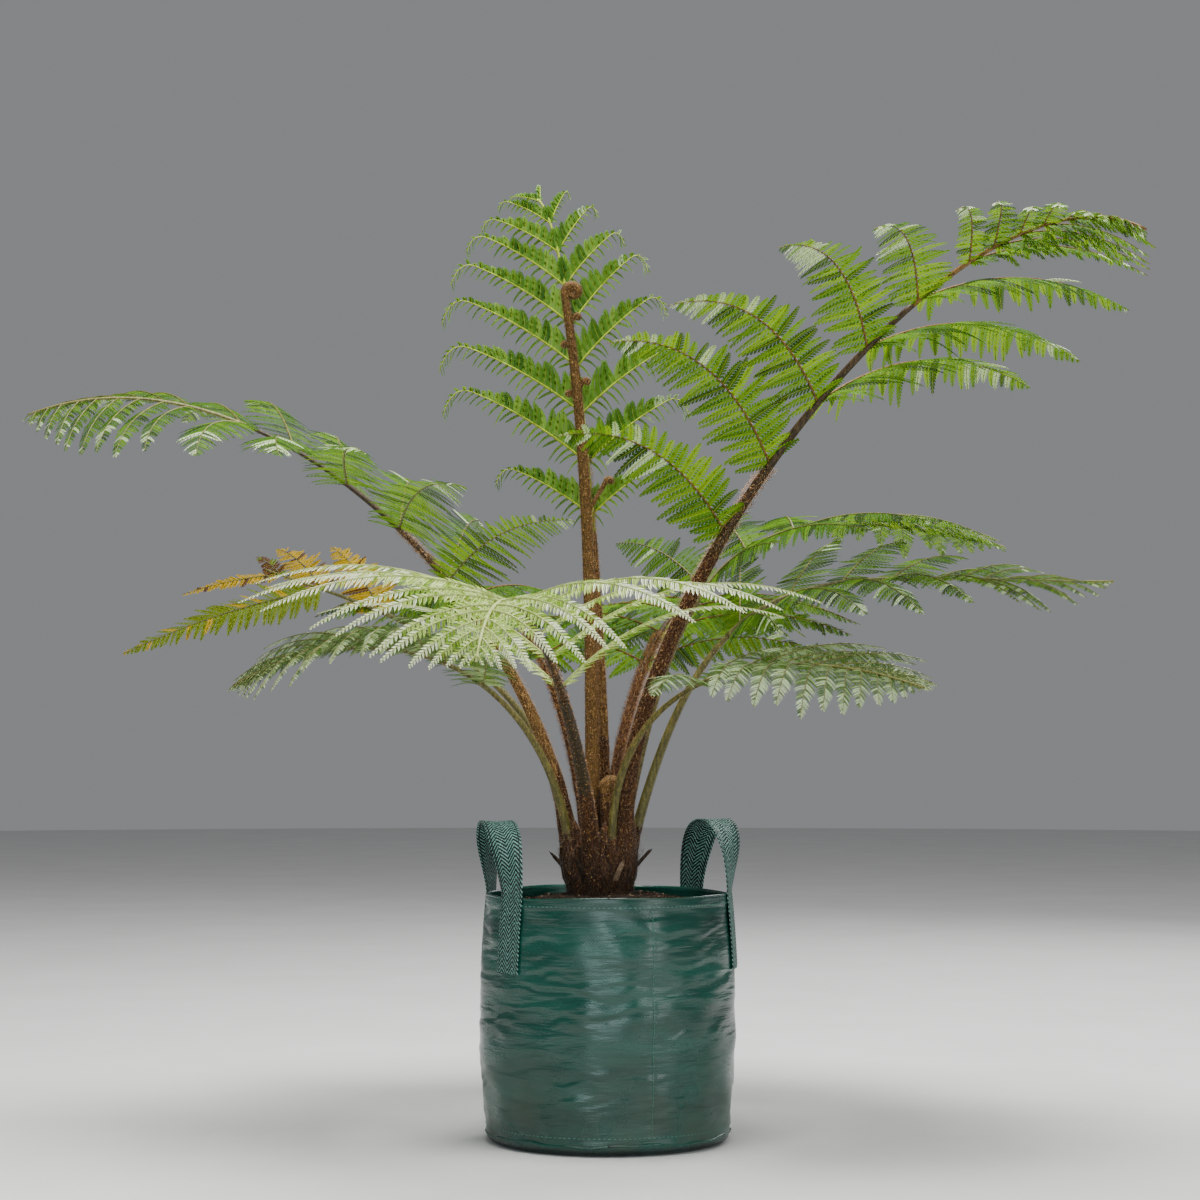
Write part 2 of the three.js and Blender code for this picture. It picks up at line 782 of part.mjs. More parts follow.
function makeCrozier(crozier, margin) {
  const foot = CROWN.clone().add(new THREE.Vector3(...crozier.foot));
  const across = new THREE.Vector3(1, 0, 0);
  const height = crozier.height - foot.z;
  const stem = (share) => ({
    place: foot
      .clone()
      .addScaledVector(across, crozier.drift * share ** 3)
      .addScaledVector(UP, height * share),
    radius: lerp(crozier.thick, crozier.thin, share) + margin,
  });
  const steps = Math.max(3, Math.round(height / STEM_STEP));
  const stations = evenly(0, 1, steps).map(stem);
  if (margin) stations[0].place.z -= margin;
  const top = stations.at(-1).place;
  const coil = coilLine(top, across, crozier.coil, crozier.turns, crozier.thin);
  const front = new THREE.Vector3(0, -1, 0);
  let body = tube([...stations, ...coil], front, STIPE_SIDES);
  for (const bud of crozier.buds) {
    const root = stem(bud.at);
    const turn = new THREE.Vector3(bud.side, 1, 1);
    const end = root.place.clone().addScaledVector(new THREE.Vector3(...BUD.way).multiply(turn), bud.stalk);
    const knob = coilLine(end, across.clone().multiply(turn), bud.coil, BUD.turns, BUD.coil);
    const stalkEnds = [
      { place: root.place, radius: BUD.stalk },
      { place: end, radius: BUD.neck },
    ];
    body = body.add(tube([...stalkEnds, ...knob], front, BUD.sides));
  }
  return body;
}

const group = new THREE.Group();

function addNode(name, solid, finish) {
  const { color, roughness } = FINISHES[finish];
  const material = new THREE.MeshStandardMaterial({ color, roughness, metalness: 0 });
  const mesh = new THREE.Mesh(geometryOf(solid), material);
  mesh.name = name;
  group.add(mesh);
}

addNode("bag", makeBag(), "bag");
for (const [name, angle] of Object.entries(HANDLES)) addNode(name, makeHandle(angle), "webbing");

const lines = FRONDS.map(frondLine);
const stipes = FRONDS.map((frond, i) => makeStipe(frond, lines[i], 0));
const croziers = CROZIERS.map((crozier) => makeCrozier(crozier, 0));
const stubs = STUBS.map((stub) => makeStub(stub, 0));

let caudex = caudexBody(0);
FRONDS.forEach((frond, i) => {
  caudex = caudex.subtract(makeStipe(frond, lines[i], SOCKET_GAP));
});
for (const crozier of CROZIERS) caudex = caudex.subtract(makeCrozier({ ...crozier, buds: [] }, GAP));
for (const stub of STUBS) caudex = caudex.subtract(makeStub(stub, GAP));

addNode("soil", makeSoil(caudexBody(GAP)), "soil");
addNode("caudex", caudex, "fibre");
stubs.forEach((stub, i) => addNode("stub_" + (i + 1), stub, "stub"));
CROZIERS.forEach(({ name }, i) => addNode(name, croziers[i], "hairy"));
FRONDS.forEach(({ name }, i) =>
  addNode("stipe_" + name, stipes[i], HAIRY_STIPES.includes(name) ? "hairy" : "olive"),
);

const placed = [...stipes, ...croziers];
FRONDS.forEach((frond, i) => {
  const blade = makeBlade(frond, lines[i], placed);
  placed.push(blade);
  addNode("frond_" + frond.name, blade, FROND_FINISHES[frond.name] ?? "green");
});

export default group;
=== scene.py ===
"""Tree fern in a woven grow bag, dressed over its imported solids.

The frame is in metres with +Z up and the front at -Y. Shapes are worked out in millimetres from the
same named sizes as the solids, and carried on to leaflets, ribs, hairs, creases and stitches.
"""

import logging
import math
from dataclasses import dataclass, field
from enum import Enum
from typing import Any

import bpy
import numpy as np
from mathutils import Matrix
from numpy.typing import NDArray


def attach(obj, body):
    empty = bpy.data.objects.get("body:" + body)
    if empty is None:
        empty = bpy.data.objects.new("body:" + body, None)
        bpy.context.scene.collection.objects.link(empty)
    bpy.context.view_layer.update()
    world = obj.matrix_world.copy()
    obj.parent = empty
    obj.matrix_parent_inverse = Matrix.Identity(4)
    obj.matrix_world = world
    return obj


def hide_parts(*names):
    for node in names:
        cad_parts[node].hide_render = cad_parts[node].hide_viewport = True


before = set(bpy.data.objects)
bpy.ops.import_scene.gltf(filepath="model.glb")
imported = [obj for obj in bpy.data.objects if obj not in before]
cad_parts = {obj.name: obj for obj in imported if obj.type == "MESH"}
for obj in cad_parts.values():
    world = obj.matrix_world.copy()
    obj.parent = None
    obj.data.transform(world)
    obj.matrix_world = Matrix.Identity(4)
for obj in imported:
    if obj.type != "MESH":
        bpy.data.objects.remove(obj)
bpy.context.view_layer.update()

LOG = logging.getLogger("tree_fern")
Array = NDArray[np.float64]
Numbers = NDArray[np.int64]
Triple = tuple[float, float, float]
Pairs = tuple[tuple[float, float], ...]
Colour = Triple
Finishes = dict[str, bpy.types.Material]
MM = 0.001
UP = np.array([0.0, 0.0, 1.0])
FRONT = np.array([0.0, -1.0, 0.0])
CROWN = np.array([-12.6, 0.0, 0.0])
STALK_FOOT = 445.0
FURRED_SWELL = 1.1


def unit(vectors: Array) -> Array:
    """Gives vectors the length one."""
    return vectors / np.maximum(np.linalg.norm(vectors, axis=-1, keepdims=True), 1e-12)


def square_to(vectors: Array, along: Array) -> Array:
    """Turns vectors square to others.

    Args:
        vectors: The vectors to turn.
        along: Directions of length one.

    Returns:
        The part of each vector that is square to its direction, of length one.
    """
    return unit(vectors - np.sum(vectors * along, axis=-1, keepdims=True) * along)


def mix(low: Any, high: Any, share: Any) -> Any:
    """Gives the value a share of the way from low to high."""
    return low + (high - low) * share


def from_front(degrees: float) -> Array:
    """Gives the direction seen from above at an angle from the front towards +X."""
    turn = math.radians(degrees)
    return np.array([math.sin(turn), -math.cos(turn), 0.0])


def around(turn: Any, reach: Any, height: Any) -> Array:
    """Gives places at angles from the front towards +X, distances from the axis and heights."""
    places = np.broadcast_arrays(reach * np.sin(turn), -reach * np.cos(turn), height)
    return np.stack(places, axis=-1)


def apart(turn: Any, angle: float) -> Any:
    """Gives how far angles are from another, the short way round."""
    return np.arctan2(np.sin(turn - angle), np.cos(turn - angle))


def distances(places: Array) -> Array:
    """Gives the distance along a line to each of its points."""
    steps = np.linalg.norm(np.diff(places, axis=0), axis=1)
    return np.concatenate([[0], np.cumsum(steps)])


def between(spots: Array, known: Array, vectors: Array) -> Array:
    """Gives vectors at spots between those where they are known."""
    return np.stack([np.interp(spots, known, vectors[:, k]) for k in range(3)], axis=1)


def pick(finishes: Finishes, *names: str) -> list[bpy.types.Material]:
    """Gives some of the part's materials by name."""
    return [finishes[name] for name in names]


@dataclass
class Skin:
    """Points and faces of one piece while it is put together, in millimetres."""

    points: list[Array] = field(default_factory=list)
    faces: list[Numbers] = field(default_factory=list)
    tints: list[Numbers] = field(default_factory=list)
    layout: list[Array] = field(default_factory=list)
    count: int = 0

    def add(self, points: Array, faces: Array, tint: Any = 0, layout: Array | None = None) -> None:
        """Adds points and faces that all have the same number of corners.

        Args:
            points: The new points.
            faces: Rows of point numbers, counted from the first new point.
            tint: Which of the piece's finishes the faces take, one for all or one for each.
            layout: Flat coordinates of each point in metres, for a weave or a grain.
        """
        self.points.append(points)
        self.faces.append(np.asarray(faces, dtype=np.int64) + self.count)
        self.tints.append(np.broadcast_to(np.asarray(tint, dtype=np.int64), (len(faces),)))
        self.layout.append(np.zeros((len(points), 2)) if layout is None else layout)
        self.count += len(points)

    def add_copies(self, points: Array, faces: Numbers, tints: Any) -> None:
        """Adds many copies of one pattern of faces, each with points of its own.

        Args:
            points: The points of each copy, (copies, points, 3).
            faces: Rows of point numbers within one copy.
            tints: Which of the piece's finishes each face takes, copy by copy.
        """
        starts = np.arange(len(points))[:, None, None] * points.shape[1]
        self.add(points.reshape(-1, 3), (faces[None] + starts).reshape(-1, faces.shape[1]), tints)

    def put(
        self,
        name: str,
        finishes: list[bpy.types.Material],
        slot: str,
        stands_for: tuple[str, ...] = (),
        smooth: bool = True,
    ) -> bpy.types.Object:
        """Turns the points and faces into a piece of the part.

        Args:
            name: Name of the piece.
            finishes: Materials that the faces' tints number.
            slot: The record's material slot of the piece; not used.
            stands_for: Solids that the piece is shown in place of.
            smooth: Whether faces are shaded as one rounded surface.

        Returns:
            The finished object.
        """
        corners = np.concatenate([rows.ravel() for rows in self.faces])
        sizes = np.concatenate([np.full(len(rows), rows.shape[1]) for rows in self.faces])
        starts = np.concatenate([[0], np.cumsum(sizes)[:-1]])
        mesh = bpy.data.meshes.new(name)
        mesh.vertices.add(self.count)
        places = np.concatenate(self.points) * MM
        mesh.vertices.foreach_set("co", places.astype(np.float32).ravel())
        mesh.loops.add(len(corners))
        mesh.loops.foreach_set("vertex_index", corners.astype(np.int32))
        mesh.polygons.add(len(sizes))
        mesh.polygons.foreach_set("loop_start", starts.astype(np.int32))
        mesh.polygons.foreach_set("material_index", np.concatenate(self.tints).astype(np.int32))
        mesh.update(calc_edges=True)
        mesh.polygons.foreach_set("use_smooth", np.full(len(sizes), smooth))
        flat = mesh.uv_layers.new(name="layout")
        flat.data.foreach_set("uv", np.concatenate(self.layout)[corners].astype(np.float32).ravel())
        for finish in finishes:
            mesh.materials.append(finish)
        mesh.update()
        piece = bpy.data.objects.new(name, mesh)
        bpy.context.scene.collection.objects.link(piece)
        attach(piece, "root")
        if stands_for:
            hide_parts(*stands_for)
        LOG.info("%s: %d faces", name, len(sizes))
        return piece


def add_grid(
    skin: Skin, grid: Array, layout: Array | None = None, tint: int = 0, flipped: bool = False
) -> None:
    """Adds a net of rows of points, joined row to row.

    Args:
        skin: The piece to add to.
        grid: Points in rows, (rows, columns, 3). Rows that go all round begin and end on one point.
        layout: Flat coordinates in the same rows, (rows, columns, 2).
        tint: Which finish the faces take.
        flipped: Whether the faces look the other way.
    """
    rows, columns = grid.shape[:2]
    numbers = np.arange(rows * columns).reshape(rows, columns)
    a, b = numbers[:-1, :-1].ravel(), numbers[:-1, 1:].ravel()
    c, d = numbers[1:, 1:].ravel(), numbers[1:, :-1].ravel()
    faces = np.stack([d, c, b, a] if flipped else [a, b, c, d], axis=1)
    skin.add(grid.reshape(-1, 3), faces, tint, None if layout is None else layout.reshape(-1, 2))


def add_tube(
    skin: Skin, places: Array, radii: Array, sides: int, side: Array, tint: int = 0
) -> None:
    """Adds a round stalk along a line, closed at both ends.

    Args:
        skin: The piece to add to.
        places: Points of the middle line.
        radii: The radius at each point.
        sides: How many flat sides it has.
        side: A direction that isn't along the line, where its seam lies.
        tint: Which finish the faces take.
    """
    along = unit(np.gradient(places, axis=0))
    across = square_to(np.broadcast_to(side, places.shape), along)
    other = np.cross(along, across)
    turn = np.linspace(0, 2 * math.pi, sides + 1)
    cosines, sines = np.cos(turn)[:, None], np.sin(turn)[:, None]
    rings = across[:, None] * cosines + other[:, None] * sines
    reach = np.concatenate([[0], radii, [0]])
    places = np.concatenate([places[:1], places, places[-1:]])
    rings = np.concatenate([rings[:1], rings, rings[-1:]])
    grid = places[:, None] + rings * reach[:, None, None]
    flat = [turn[None, :] * np.mean(radii) * MM, distances(places)[:, None] * MM]
    layout = np.stack(np.broadcast_arrays(*flat), axis=-1)
    add_grid(skin, grid, layout, tint)


def add_stitch(skin: Skin, line: Array, radius: float, side: Array) -> None:
    """Adds one stitch along four points, thin at both ends."""
    add_tube(skin, line, np.array([0.1, radius, radius, 0.1]), 5, side)


class Graph:
    """The shader nodes of one finish."""

    def __init__(self, name: str) -> None:
        """Starts a finish with one main shader.

        Args:
            name: The finish's name.
        """
        self.material = bpy.data.materials.new(name)
        self.material.use_nodes = True
        self.tree = self.material.node_tree
        self.shader = self.tree.nodes["Principled BSDF"]

    def node(
        self, kind: str, inputs: dict[Any, Any] | None = None, **settings: Any
    ) -> bpy.types.Node:
        """Adds a node.

        Args:
            kind: The node's type, without its ShaderNode beginning.
            inputs: Values or sockets for the node's inputs, by name or number.
            **settings: The node's own settings.

        Returns:
            The node.
        """
        made = self.tree.nodes.new("ShaderNode" + kind)
        for key, value in settings.items():
            setattr(made, key, value)
        for key, value in (inputs or {}).items():
            self.feed(made.inputs[key], value)
        return made

    def feed(self, socket: bpy.types.NodeSocket, value: Any) -> None:
        """Joins a socket to another, or sets its value.

        Args:
            socket: The socket to feed.
            value: Another socket, or a value.
        """
        if isinstance(value, bpy.types.NodeSocket):
            self.tree.links.new(value, socket)
        elif socket.type == "RGBA" and len(value) == 3:
            socket.default_value = (*value, 1.0)
        else:
            socket.default_value = value

    def sum(self, operation: str, first: Any, second: Any = 0.0) -> bpy.types.NodeSocket:
        """Adds a math node and gives its result."""
        return self.node("Math", {0: first, 1: second}, operation=operation).outputs[0]

    def ramp(self, share: Any, stops: list[tuple[float, Colour]]) -> bpy.types.NodeSocket:
        """Adds a colour ramp.

        Args:
            share: The socket that picks the colour.
            stops: Places from 0 to 1, each with its colour.

        Returns:
            The colour socket.
        """
        made = self.node("ValToRGB", {"Fac": share})
        elements = made.color_ramp.elements
        while len(elements) < len(stops):
            elements.new(0.5)
        for element, (place, colour) in zip(elements, stops):
            element.position = place
            element.color = (*colour, 1.0)
        return made.outputs["Color"]

    def range(
        self, value: Any, low: float, high: float, start: float, end: float
    ) -> bpy.types.NodeSocket:
        """Maps values from low to high onto start to end, and holds them there."""
        spread = {"Value": value, "From Min": low, "From Max": high, "To Min": start, "To Max": end}
        return self.node("MapRange", spread).outputs[0]

    def noise(
        self, vector: Any, scale: float, detail: float = 4.0, rough: float = 0.55
    ) -> bpy.types.NodeSocket:
        """Adds a noise texture and gives its value."""
        inputs = {"Vector": vector, "Scale": scale, "Detail": detail, "Roughness": rough}
        return self.node("TexNoise", inputs).outputs["Fac"]

    def blend(self, share: Any, first: Any, second: Any, kind: str = "MIX") -> bpy.types.NodeSocket:
        """Blends a share of the second colour into the first."""
        return self.node("MixRGB", {0: share, 1: first, 2: second}, blend_type=kind).outputs[0]

    def place(self, stretch: Colour = (1.0, 1.0, 1.0)) -> bpy.types.NodeSocket:
        """Gives the place on the object, stretched along its axes."""
        found = self.node("TexCoord").outputs["Object"]
        return self.node("Mapping", {"Vector": found, "Scale": stretch}).outputs["Vector"]

    def flat(self) -> tuple[bpy.types.NodeSocket, bpy.types.NodeSocket]:
        """Gives the two flat coordinates of the surface, in metres."""
        found = self.node("SeparateXYZ", {0: self.node("UVMap", uv_map="layout").outputs["UV"]})
        return found.outputs["X"], found.outputs["Y"]

    def bump(self, height: Any, distance: float) -> None:
        """Gives the surface fine relief of a depth in metres."""
        made = self.node("Bump", {"Height": height, "Distance": distance})
        self.feed(self.shader.inputs["Normal"], made.outputs["Normal"])

    def surface(self, **values: Any) -> bpy.types.Material:
        """Sets inputs of the main shader, by their names with spaces as underscores.

        Args:
            **values: Values or sockets.

        Returns:
            The finished material.
        """
        for name, value in values.items():
            self.feed(self.shader.inputs[name.replace("_", " ")], value)
        return self.material


@dataclass(frozen=True)
class LeafTint:
    """One plain leaf colour, opaque, with light that glows through the blade."""

    name: str
    colour: Colour
    glow: Colour
    roughness: float = 0.45
    through: float = 0.3
    gloss: float = 0.12

    def make(self) -> bpy.types.Material:
        """Makes the material.

        Returns:
            The finished material.
        """
        graph = Graph(self.name)
        graph.surface(Base_Color=self.colour, Roughness=self.roughness)
        graph.surface(Specular_IOR_Level=self.gloss)
        glow = graph.node("BsdfTranslucent", {"Color": self.glow})
        both = graph.node(
            "MixShader", {0: self.through, 1: graph.shader.outputs[0], 2: glow.outputs[0]}
        )
        output = graph.tree.nodes["Material Output"]
        graph.feed(output.inputs["Surface"], both.outputs[0])
        return graph.material


@dataclass(frozen=True)
class StalkFinish:
    """Bark of a stipe or rib, streaked along its length and darker near the ground."""

    name: str
    dark: Colour
    middle: Colour
    pale: Colour
    roughness: float = 0.6
    grain: float = 60.0
    relief: float = 0.0012
    dark_under: float = 0.0
    low_colour: Colour = (0.012, 0.005, 0.003)

    def make(self) -> bpy.types.Material:
        """Makes the material.

        Returns:
            The finished material.
        """
        graph = Graph(self.name)
        streaks = graph.noise(graph.place((6.0, 6.0, 1.0)), self.grain, 6.0, 0.65)
        flecks = graph.noise(graph.place(), self.grain * 6, 3.0, 0.6)
        streaked = graph.sum("MULTIPLY", streaks, 0.7)
        share = graph.sum("ADD", streaked, graph.sum("MULTIPLY", flecks, 0.3))
        colour = graph.ramp(share, [(0.36, self.dark), (0.5, self.middle), (0.66, self.pale)])
        graph.bump(share, self.relief)
        if self.dark_under:
            height = graph.node("SeparateXYZ", {0: graph.place()}).outputs["Z"]
            height = graph.sum("ADD", height, graph.sum("MULTIPLY", streaks, 0.08))
            # Darker towards the bottom.
            low = graph.range(height, self.dark_under - 0.03, self.dark_under + 0.1, 0.68, 0.0)
            colour = graph.blend(low, colour, self.low_colour)
        return graph.surface(Base_Color=colour, Roughness=self.roughness, Specular_IOR_Level=0.3)


@dataclass(frozen=True)
class HairFinish:
    """Fine hairs or root fibres, paler and darker from one to the next."""

    name: str
    dark: Colour
    pale: Colour
    roughness: float = 0.6

    def make(self) -> bpy.types.Material:
        """Makes the material.

        Returns:
            The finished material.
        """
        graph = Graph(self.name)
        share = graph.noise(graph.place(), 420.0, 2.0)
        colour = graph.ramp(share, [(0.38, self.dark), (0.62, self.pale)])
        graph.surface(Base_Color=colour, Roughness=self.roughness, Specular_IOR_Level=0.3)
        return graph.surface(Sheen_Weight=0.25)


@dataclass(frozen=True)
class WovenFilm:
    """Glossy woven polypropylene, flat tape weave, dusty low down, painted shade at its foot."""

    name: str = "woven_green_film"
    tape: float = 0.0026
    deep: Colour = (0.001, 0.028, 0.019)
    fair: Colour = (0.003, 0.078, 0.054)
    dust: Colour = (0.05, 0.058, 0.036)
    # Near-black painted shade under the welt, where the bag meets the floor.
    base: Colour = (0.004, 0.012, 0.01)

    def make(self) -> bpy.types.Material:
        """Makes the material.

        Returns:
            The finished material.
        """
        graph = Graph(self.name)
        u, v = graph.flat()
        rate = math.pi / self.tape
        warp = graph.sum("SINE", graph.sum("MULTIPLY", u, rate))
        weft = graph.sum("SINE", graph.sum("MULTIPLY", v, rate))
        weave = graph.sum("MULTIPLY", warp, weft)
        bands = graph.noise(graph.place((0.6, 0.6, 3.0)), 7.0, 5.0, 0.6)
        blotches = graph.noise(graph.place(), 11.0, 6.0, 0.6)
        body = graph.ramp(bands, [(0.3, self.deep), (0.7, self.fair)])
        # The weave's low cells are painted darker, as shade, after the same pattern as its bump.
        shades = [(0.0, (0.7, 0.7, 0.7)), (1.0, (1.0, 1.0, 1.0))]
        weave_shade = graph.ramp(graph.sum("MULTIPLY_ADD", weave, 0.5), shades)
        woven = graph.blend(0.5, body, weave_shade, "MULTIPLY")
        low = graph.range(v, 0.02, 0.17, 0.6, 0.0)
        dusty = graph.sum("MULTIPLY", low, graph.range(blotches, 0.46, 0.68, 0.0, 1.0))
        soiled = graph.blend(dusty, woven, self.dust)
        # Below the welt the film turns near-black: painted shade where the bag meets the floor.
        colour = graph.blend(graph.range(v, 0.006, 0.016, 0.9, 0.0), soiled, self.base)
        gloss = graph.range(blotches, 0.3, 0.7, 0.18, 0.34)
        roughness = graph.sum("ADD", gloss, graph.sum("MULTIPLY", dusty, 0.4))
        ripples = graph.noise(graph.place((1.0, 1.0, 8.0)), 17.0, 4.0, 0.55)
        height = graph.sum("ADD", graph.sum("MULTIPLY", weave, 0.035), ripples)
        graph.bump(height, 0.0016)
        return graph.surface(Base_Color=colour, Roughness=roughness, Specular_IOR_Level=0.55)


@dataclass(frozen=True)
class HerringboneWebbing:
    """Green zigzag webbing: painted highlight on the ridges, painted shade in the grooves."""

    name: str = "green_webbing"
    pitch: float = 0.0068
    zigzag: float = 0.0125
    yarn: float = 0.0025
    middle_line: float = 0.025
    hem_line: float = 0.021
    # deep is painted shade in the grooves and fair painted highlight on the ridges.
    deep: Colour = (0.001, 0.004, 0.003)
    middle: Colour = (0.010, 0.045, 0.037)
    fair: Colour = (0.16, 0.34, 0.29)

    def make(self) -> bpy.types.Material:
        """Makes the material.

        Returns:
            The finished material.
        """
        graph = Graph(self.name)
        u, v = graph.flat()
        fold = graph.sum("PINGPONG", u, self.zigzag)
        slant = graph.sum("ADD", v, graph.sum("MULTIPLY", fold, 1.2))
        yarn = graph.sum("SINE", graph.sum("MULTIPLY", slant, 2 * math.pi / self.pitch))
        cross = graph.sum("SINE", graph.sum("MULTIPLY", u, 2 * math.pi / self.yarn))
        ridges = graph.sum("MULTIPLY", yarn, 0.5)
        height = graph.sum("ADD", ridges, graph.sum("MULTIPLY", cross, 0.2))
        wear = graph.range(graph.noise(graph.place(), 160.0), 0.3, 0.7, -0.2, 0.2)
        share = graph.sum("ADD", graph.sum("ADD", height, 0.5), wear)
        # Colour follows the relief: painted highlight on ridges, painted shade in grooves.
        colour = graph.ramp(share, [(0.2, self.deep), (0.55, self.middle), (0.95, self.fair)])
        aside = graph.sum("ABSOLUTE", graph.sum("SUBTRACT", u, self.middle_line))
        away = graph.sum("ABSOLUTE", graph.sum("SUBTRACT", aside, self.hem_line))
        hem = graph.sum("LESS_THAN", away, 0.0011)
        sewn = graph.blend(graph.sum("MULTIPLY", hem, 0.8), colour, self.deep)
        graph.bump(height, 0.0012)
        return graph.surface(Base_Color=sewn, Roughness=0.5, Specular_IOR_Level=0.25)


@dataclass(frozen=True)
class MatteGrain:
    """A dry, uneven matter such as potting mix, bark chips or a plain floor."""

    name: str
    stops: tuple[tuple[float, Colour], ...]
    scale: float
    relief: float
    roughness: float = 0.95

    def make(self) -> bpy.types.Material:
        """Makes the material.

        Returns:
            The finished material.
        """
        graph = Graph(self.name)
        share = graph.noise(graph.place(), self.scale, 8.0, 0.65)
        graph.bump(share, self.relief)
        colour = graph.ramp(share, list(self.stops))
        return graph.surface(Base_Color=colour, Roughness=self.roughness, Specular_IOR_Level=0.2)


class Stipe(Enum):
    """Kinds of stipe that the fern has."""

    FURRED = "hairy_stipe"
    SMOOTH = "smooth_stipe"


class Leaflet(Enum):
    """Forms that a leaflet grows in.

    Each has its width between lobes, how blunt its end is, how wide a lobe is and the lobes' pitch.
    """

    COMB = (0.42, 2.4, 0.84, 6.0)
    TOOTH = (0.86, 1.6, 0.95, 7.0)
    PLATE = (0.8, 3.2, 0.96, 5.0)


@dataclass(frozen=True)
class Flank:
    """The pinnae on one side of a frond, in the sizes that the solids use, and their dress.

    Attributes:
        longest: Length of the longest one.
        angle: Degrees between a pinna and the rachis.
        lift: Degrees that pinnae rise out of the blade, at the foot and at the tip.
        sag: How far each bows down towards its end.
        hook: How far each bends back towards the stalk.
        start: Share of the leafy stretch that this side leaves bare.
        hang: How far leaflets hang.
        painted_sheen: Share of leaflets near a pinna's tip painted with a pale sheen of reflected
            light.
        breadth: How wide the row of leaflets is for its room.
        bank: Degrees that the pinnae's upper sides turn towards the frond's tip.
        dealt: Shares of the first three leaf colours.
    """

    longest: float
    angle: float
    lift: tuple[float, float]
    sag: float
    hook: float = 0.0
    start: float = 0.0
    hang: float = 0.2
    painted_sheen: float = 0.04
    breadth: float = 0.85
    bank: float = 0.0
    dealt: Triple = (0.5, 0.3, 0.2)


@dataclass(frozen=True)
class Habit:
    """How one frond grows, in the sizes that the solids use, and what it wears.

    Attributes:
        name: The ending of the names of its solids.
        heading: Degrees from +X that it grows towards, seen from above.
        foot: Where its stipe leaves the trunk, from the crown's axis.
        rise: How far the stipe keeps its first direction.
        lean: Degrees that it first leans out.
        reach: How far out its tip is.
        tip: Height of the tip.
        arch: How long the last curve is.
        dip: Degrees that the tip points down.
        sweep: How far the tip is carried to the left.
        thick: Radius of the stipe at its foot.
        neck: Radius where the pinnae begin.
        bare: Share of its length that bears no pinnae.
        pairs: How many pairs of pinnae the even rule lays out.
        wane: How soon pinnae shorten towards the tip.
        loss: Share of their length that the lowest pinnae lack.
        left: The pinnae on its left.
        right: The pinnae on its right.
        slot: Material slot of its leaflets.
        stipe: The kind of stipe.
        tints: Its leaf colours.
        ribs: Finishes of the rachis and of the ribs.
        gap: The widest room between leaflets.
        fill: Half width of a leaflet as a share of its room.
        form: The form of its leaflets.
        close_from: The pair from which a further one stands between each two.
        ruffle: How unevenly leaflets turn.
    """

    name: str
    heading: float
    foot: Triple
    rise: float
    lean: float
    reach: float
    tip: float
    arch: float
    dip: float
    sweep: float
    thick: float
    neck: float
    bare: float
    pairs: int
    wane: float
    loss: float
    left: Flank
    right: Flank
    slot: str
    stipe: Stipe
    tints: tuple[str, ...]
    ribs: tuple[str, str]
    gap: float = 11.5
    fill: float = 0.56
    form: Leaflet = Leaflet.COMB
    close_from: int = 5
    ruffle: float = 0.22

    @property
    def furred(self) -> bool:
        """Whether the stipe is furred."""
        return self.stipe is Stipe.FURRED


@dataclass(frozen=True)
class Stance:
    """Places on a line with its directions: along it, to its left and up out of the blade."""

    place: Array
    along: Array
    left: Array
    top: Array


class MidLine:
    """The middle line of a frond, from its foot to its tip."""

    SAMPLES = 800

    def __init__(self, habit: Habit) -> None:
        """Works out the line.

        Args:
            habit: How the frond grows.
        """
        turn = math.radians(habit.heading)
        out = np.array([math.cos(turn), math.sin(turn), 0.0])
        self.side = np.array([-out[1], out[0], 0.0])
        lean, dip = math.radians(habit.lean), math.radians(habit.dip)
        foot = CROWN + np.array(habit.foot)
        rising = foot + habit.rise * (math.sin(lean) * out + math.cos(lean) * UP)
        end = CROWN + habit.reach * out + habit.sweep * self.side + habit.tip * UP
        back = habit.arch * (math.sin(dip) * UP - math.cos(dip) * out)
        self.poles = np.array([foot, rising, end + back - habit.sweep / 2 * self.side, end])
        self.shares = np.linspace(0, 1, self.SAMPLES)
        self.lengths = distances(self.bezier(self.shares))
        self.length = float(self.lengths[-1])

    def bezier(self, share: Array) -> Array:
        """Works out points of the curve.

        Args:
            share: The curve's own shares.

        Returns:
            The point at each.
        """
        s = share[:, None]
        a, b, c, d = self.poles
        return (1 - s) ** 3 * a + 3 * (1 - s) ** 2 * s * b + 3 * (1 - s) * s**2 * c + s**3 * d

    def at(self, shares: Array) -> Stance:
        """Works out places and directions.

        Args:
            shares: Shares of the length.

        Returns:
            The stance at each.
        """
        own = np.interp(np.atleast_1d(shares) * self.length, self.lengths, self.shares)
        s = own[:, None]
        a, b, c, d = self.poles
        along = unit((1 - s) ** 2 * (b - a) + 2 * (1 - s) * s * (c - b) + s**2 * (d - c))
        left = square_to(np.broadcast_to(self.side, along.shape), along)
        return Stance(self.bezier(own), along, left, np.cross(along, left))


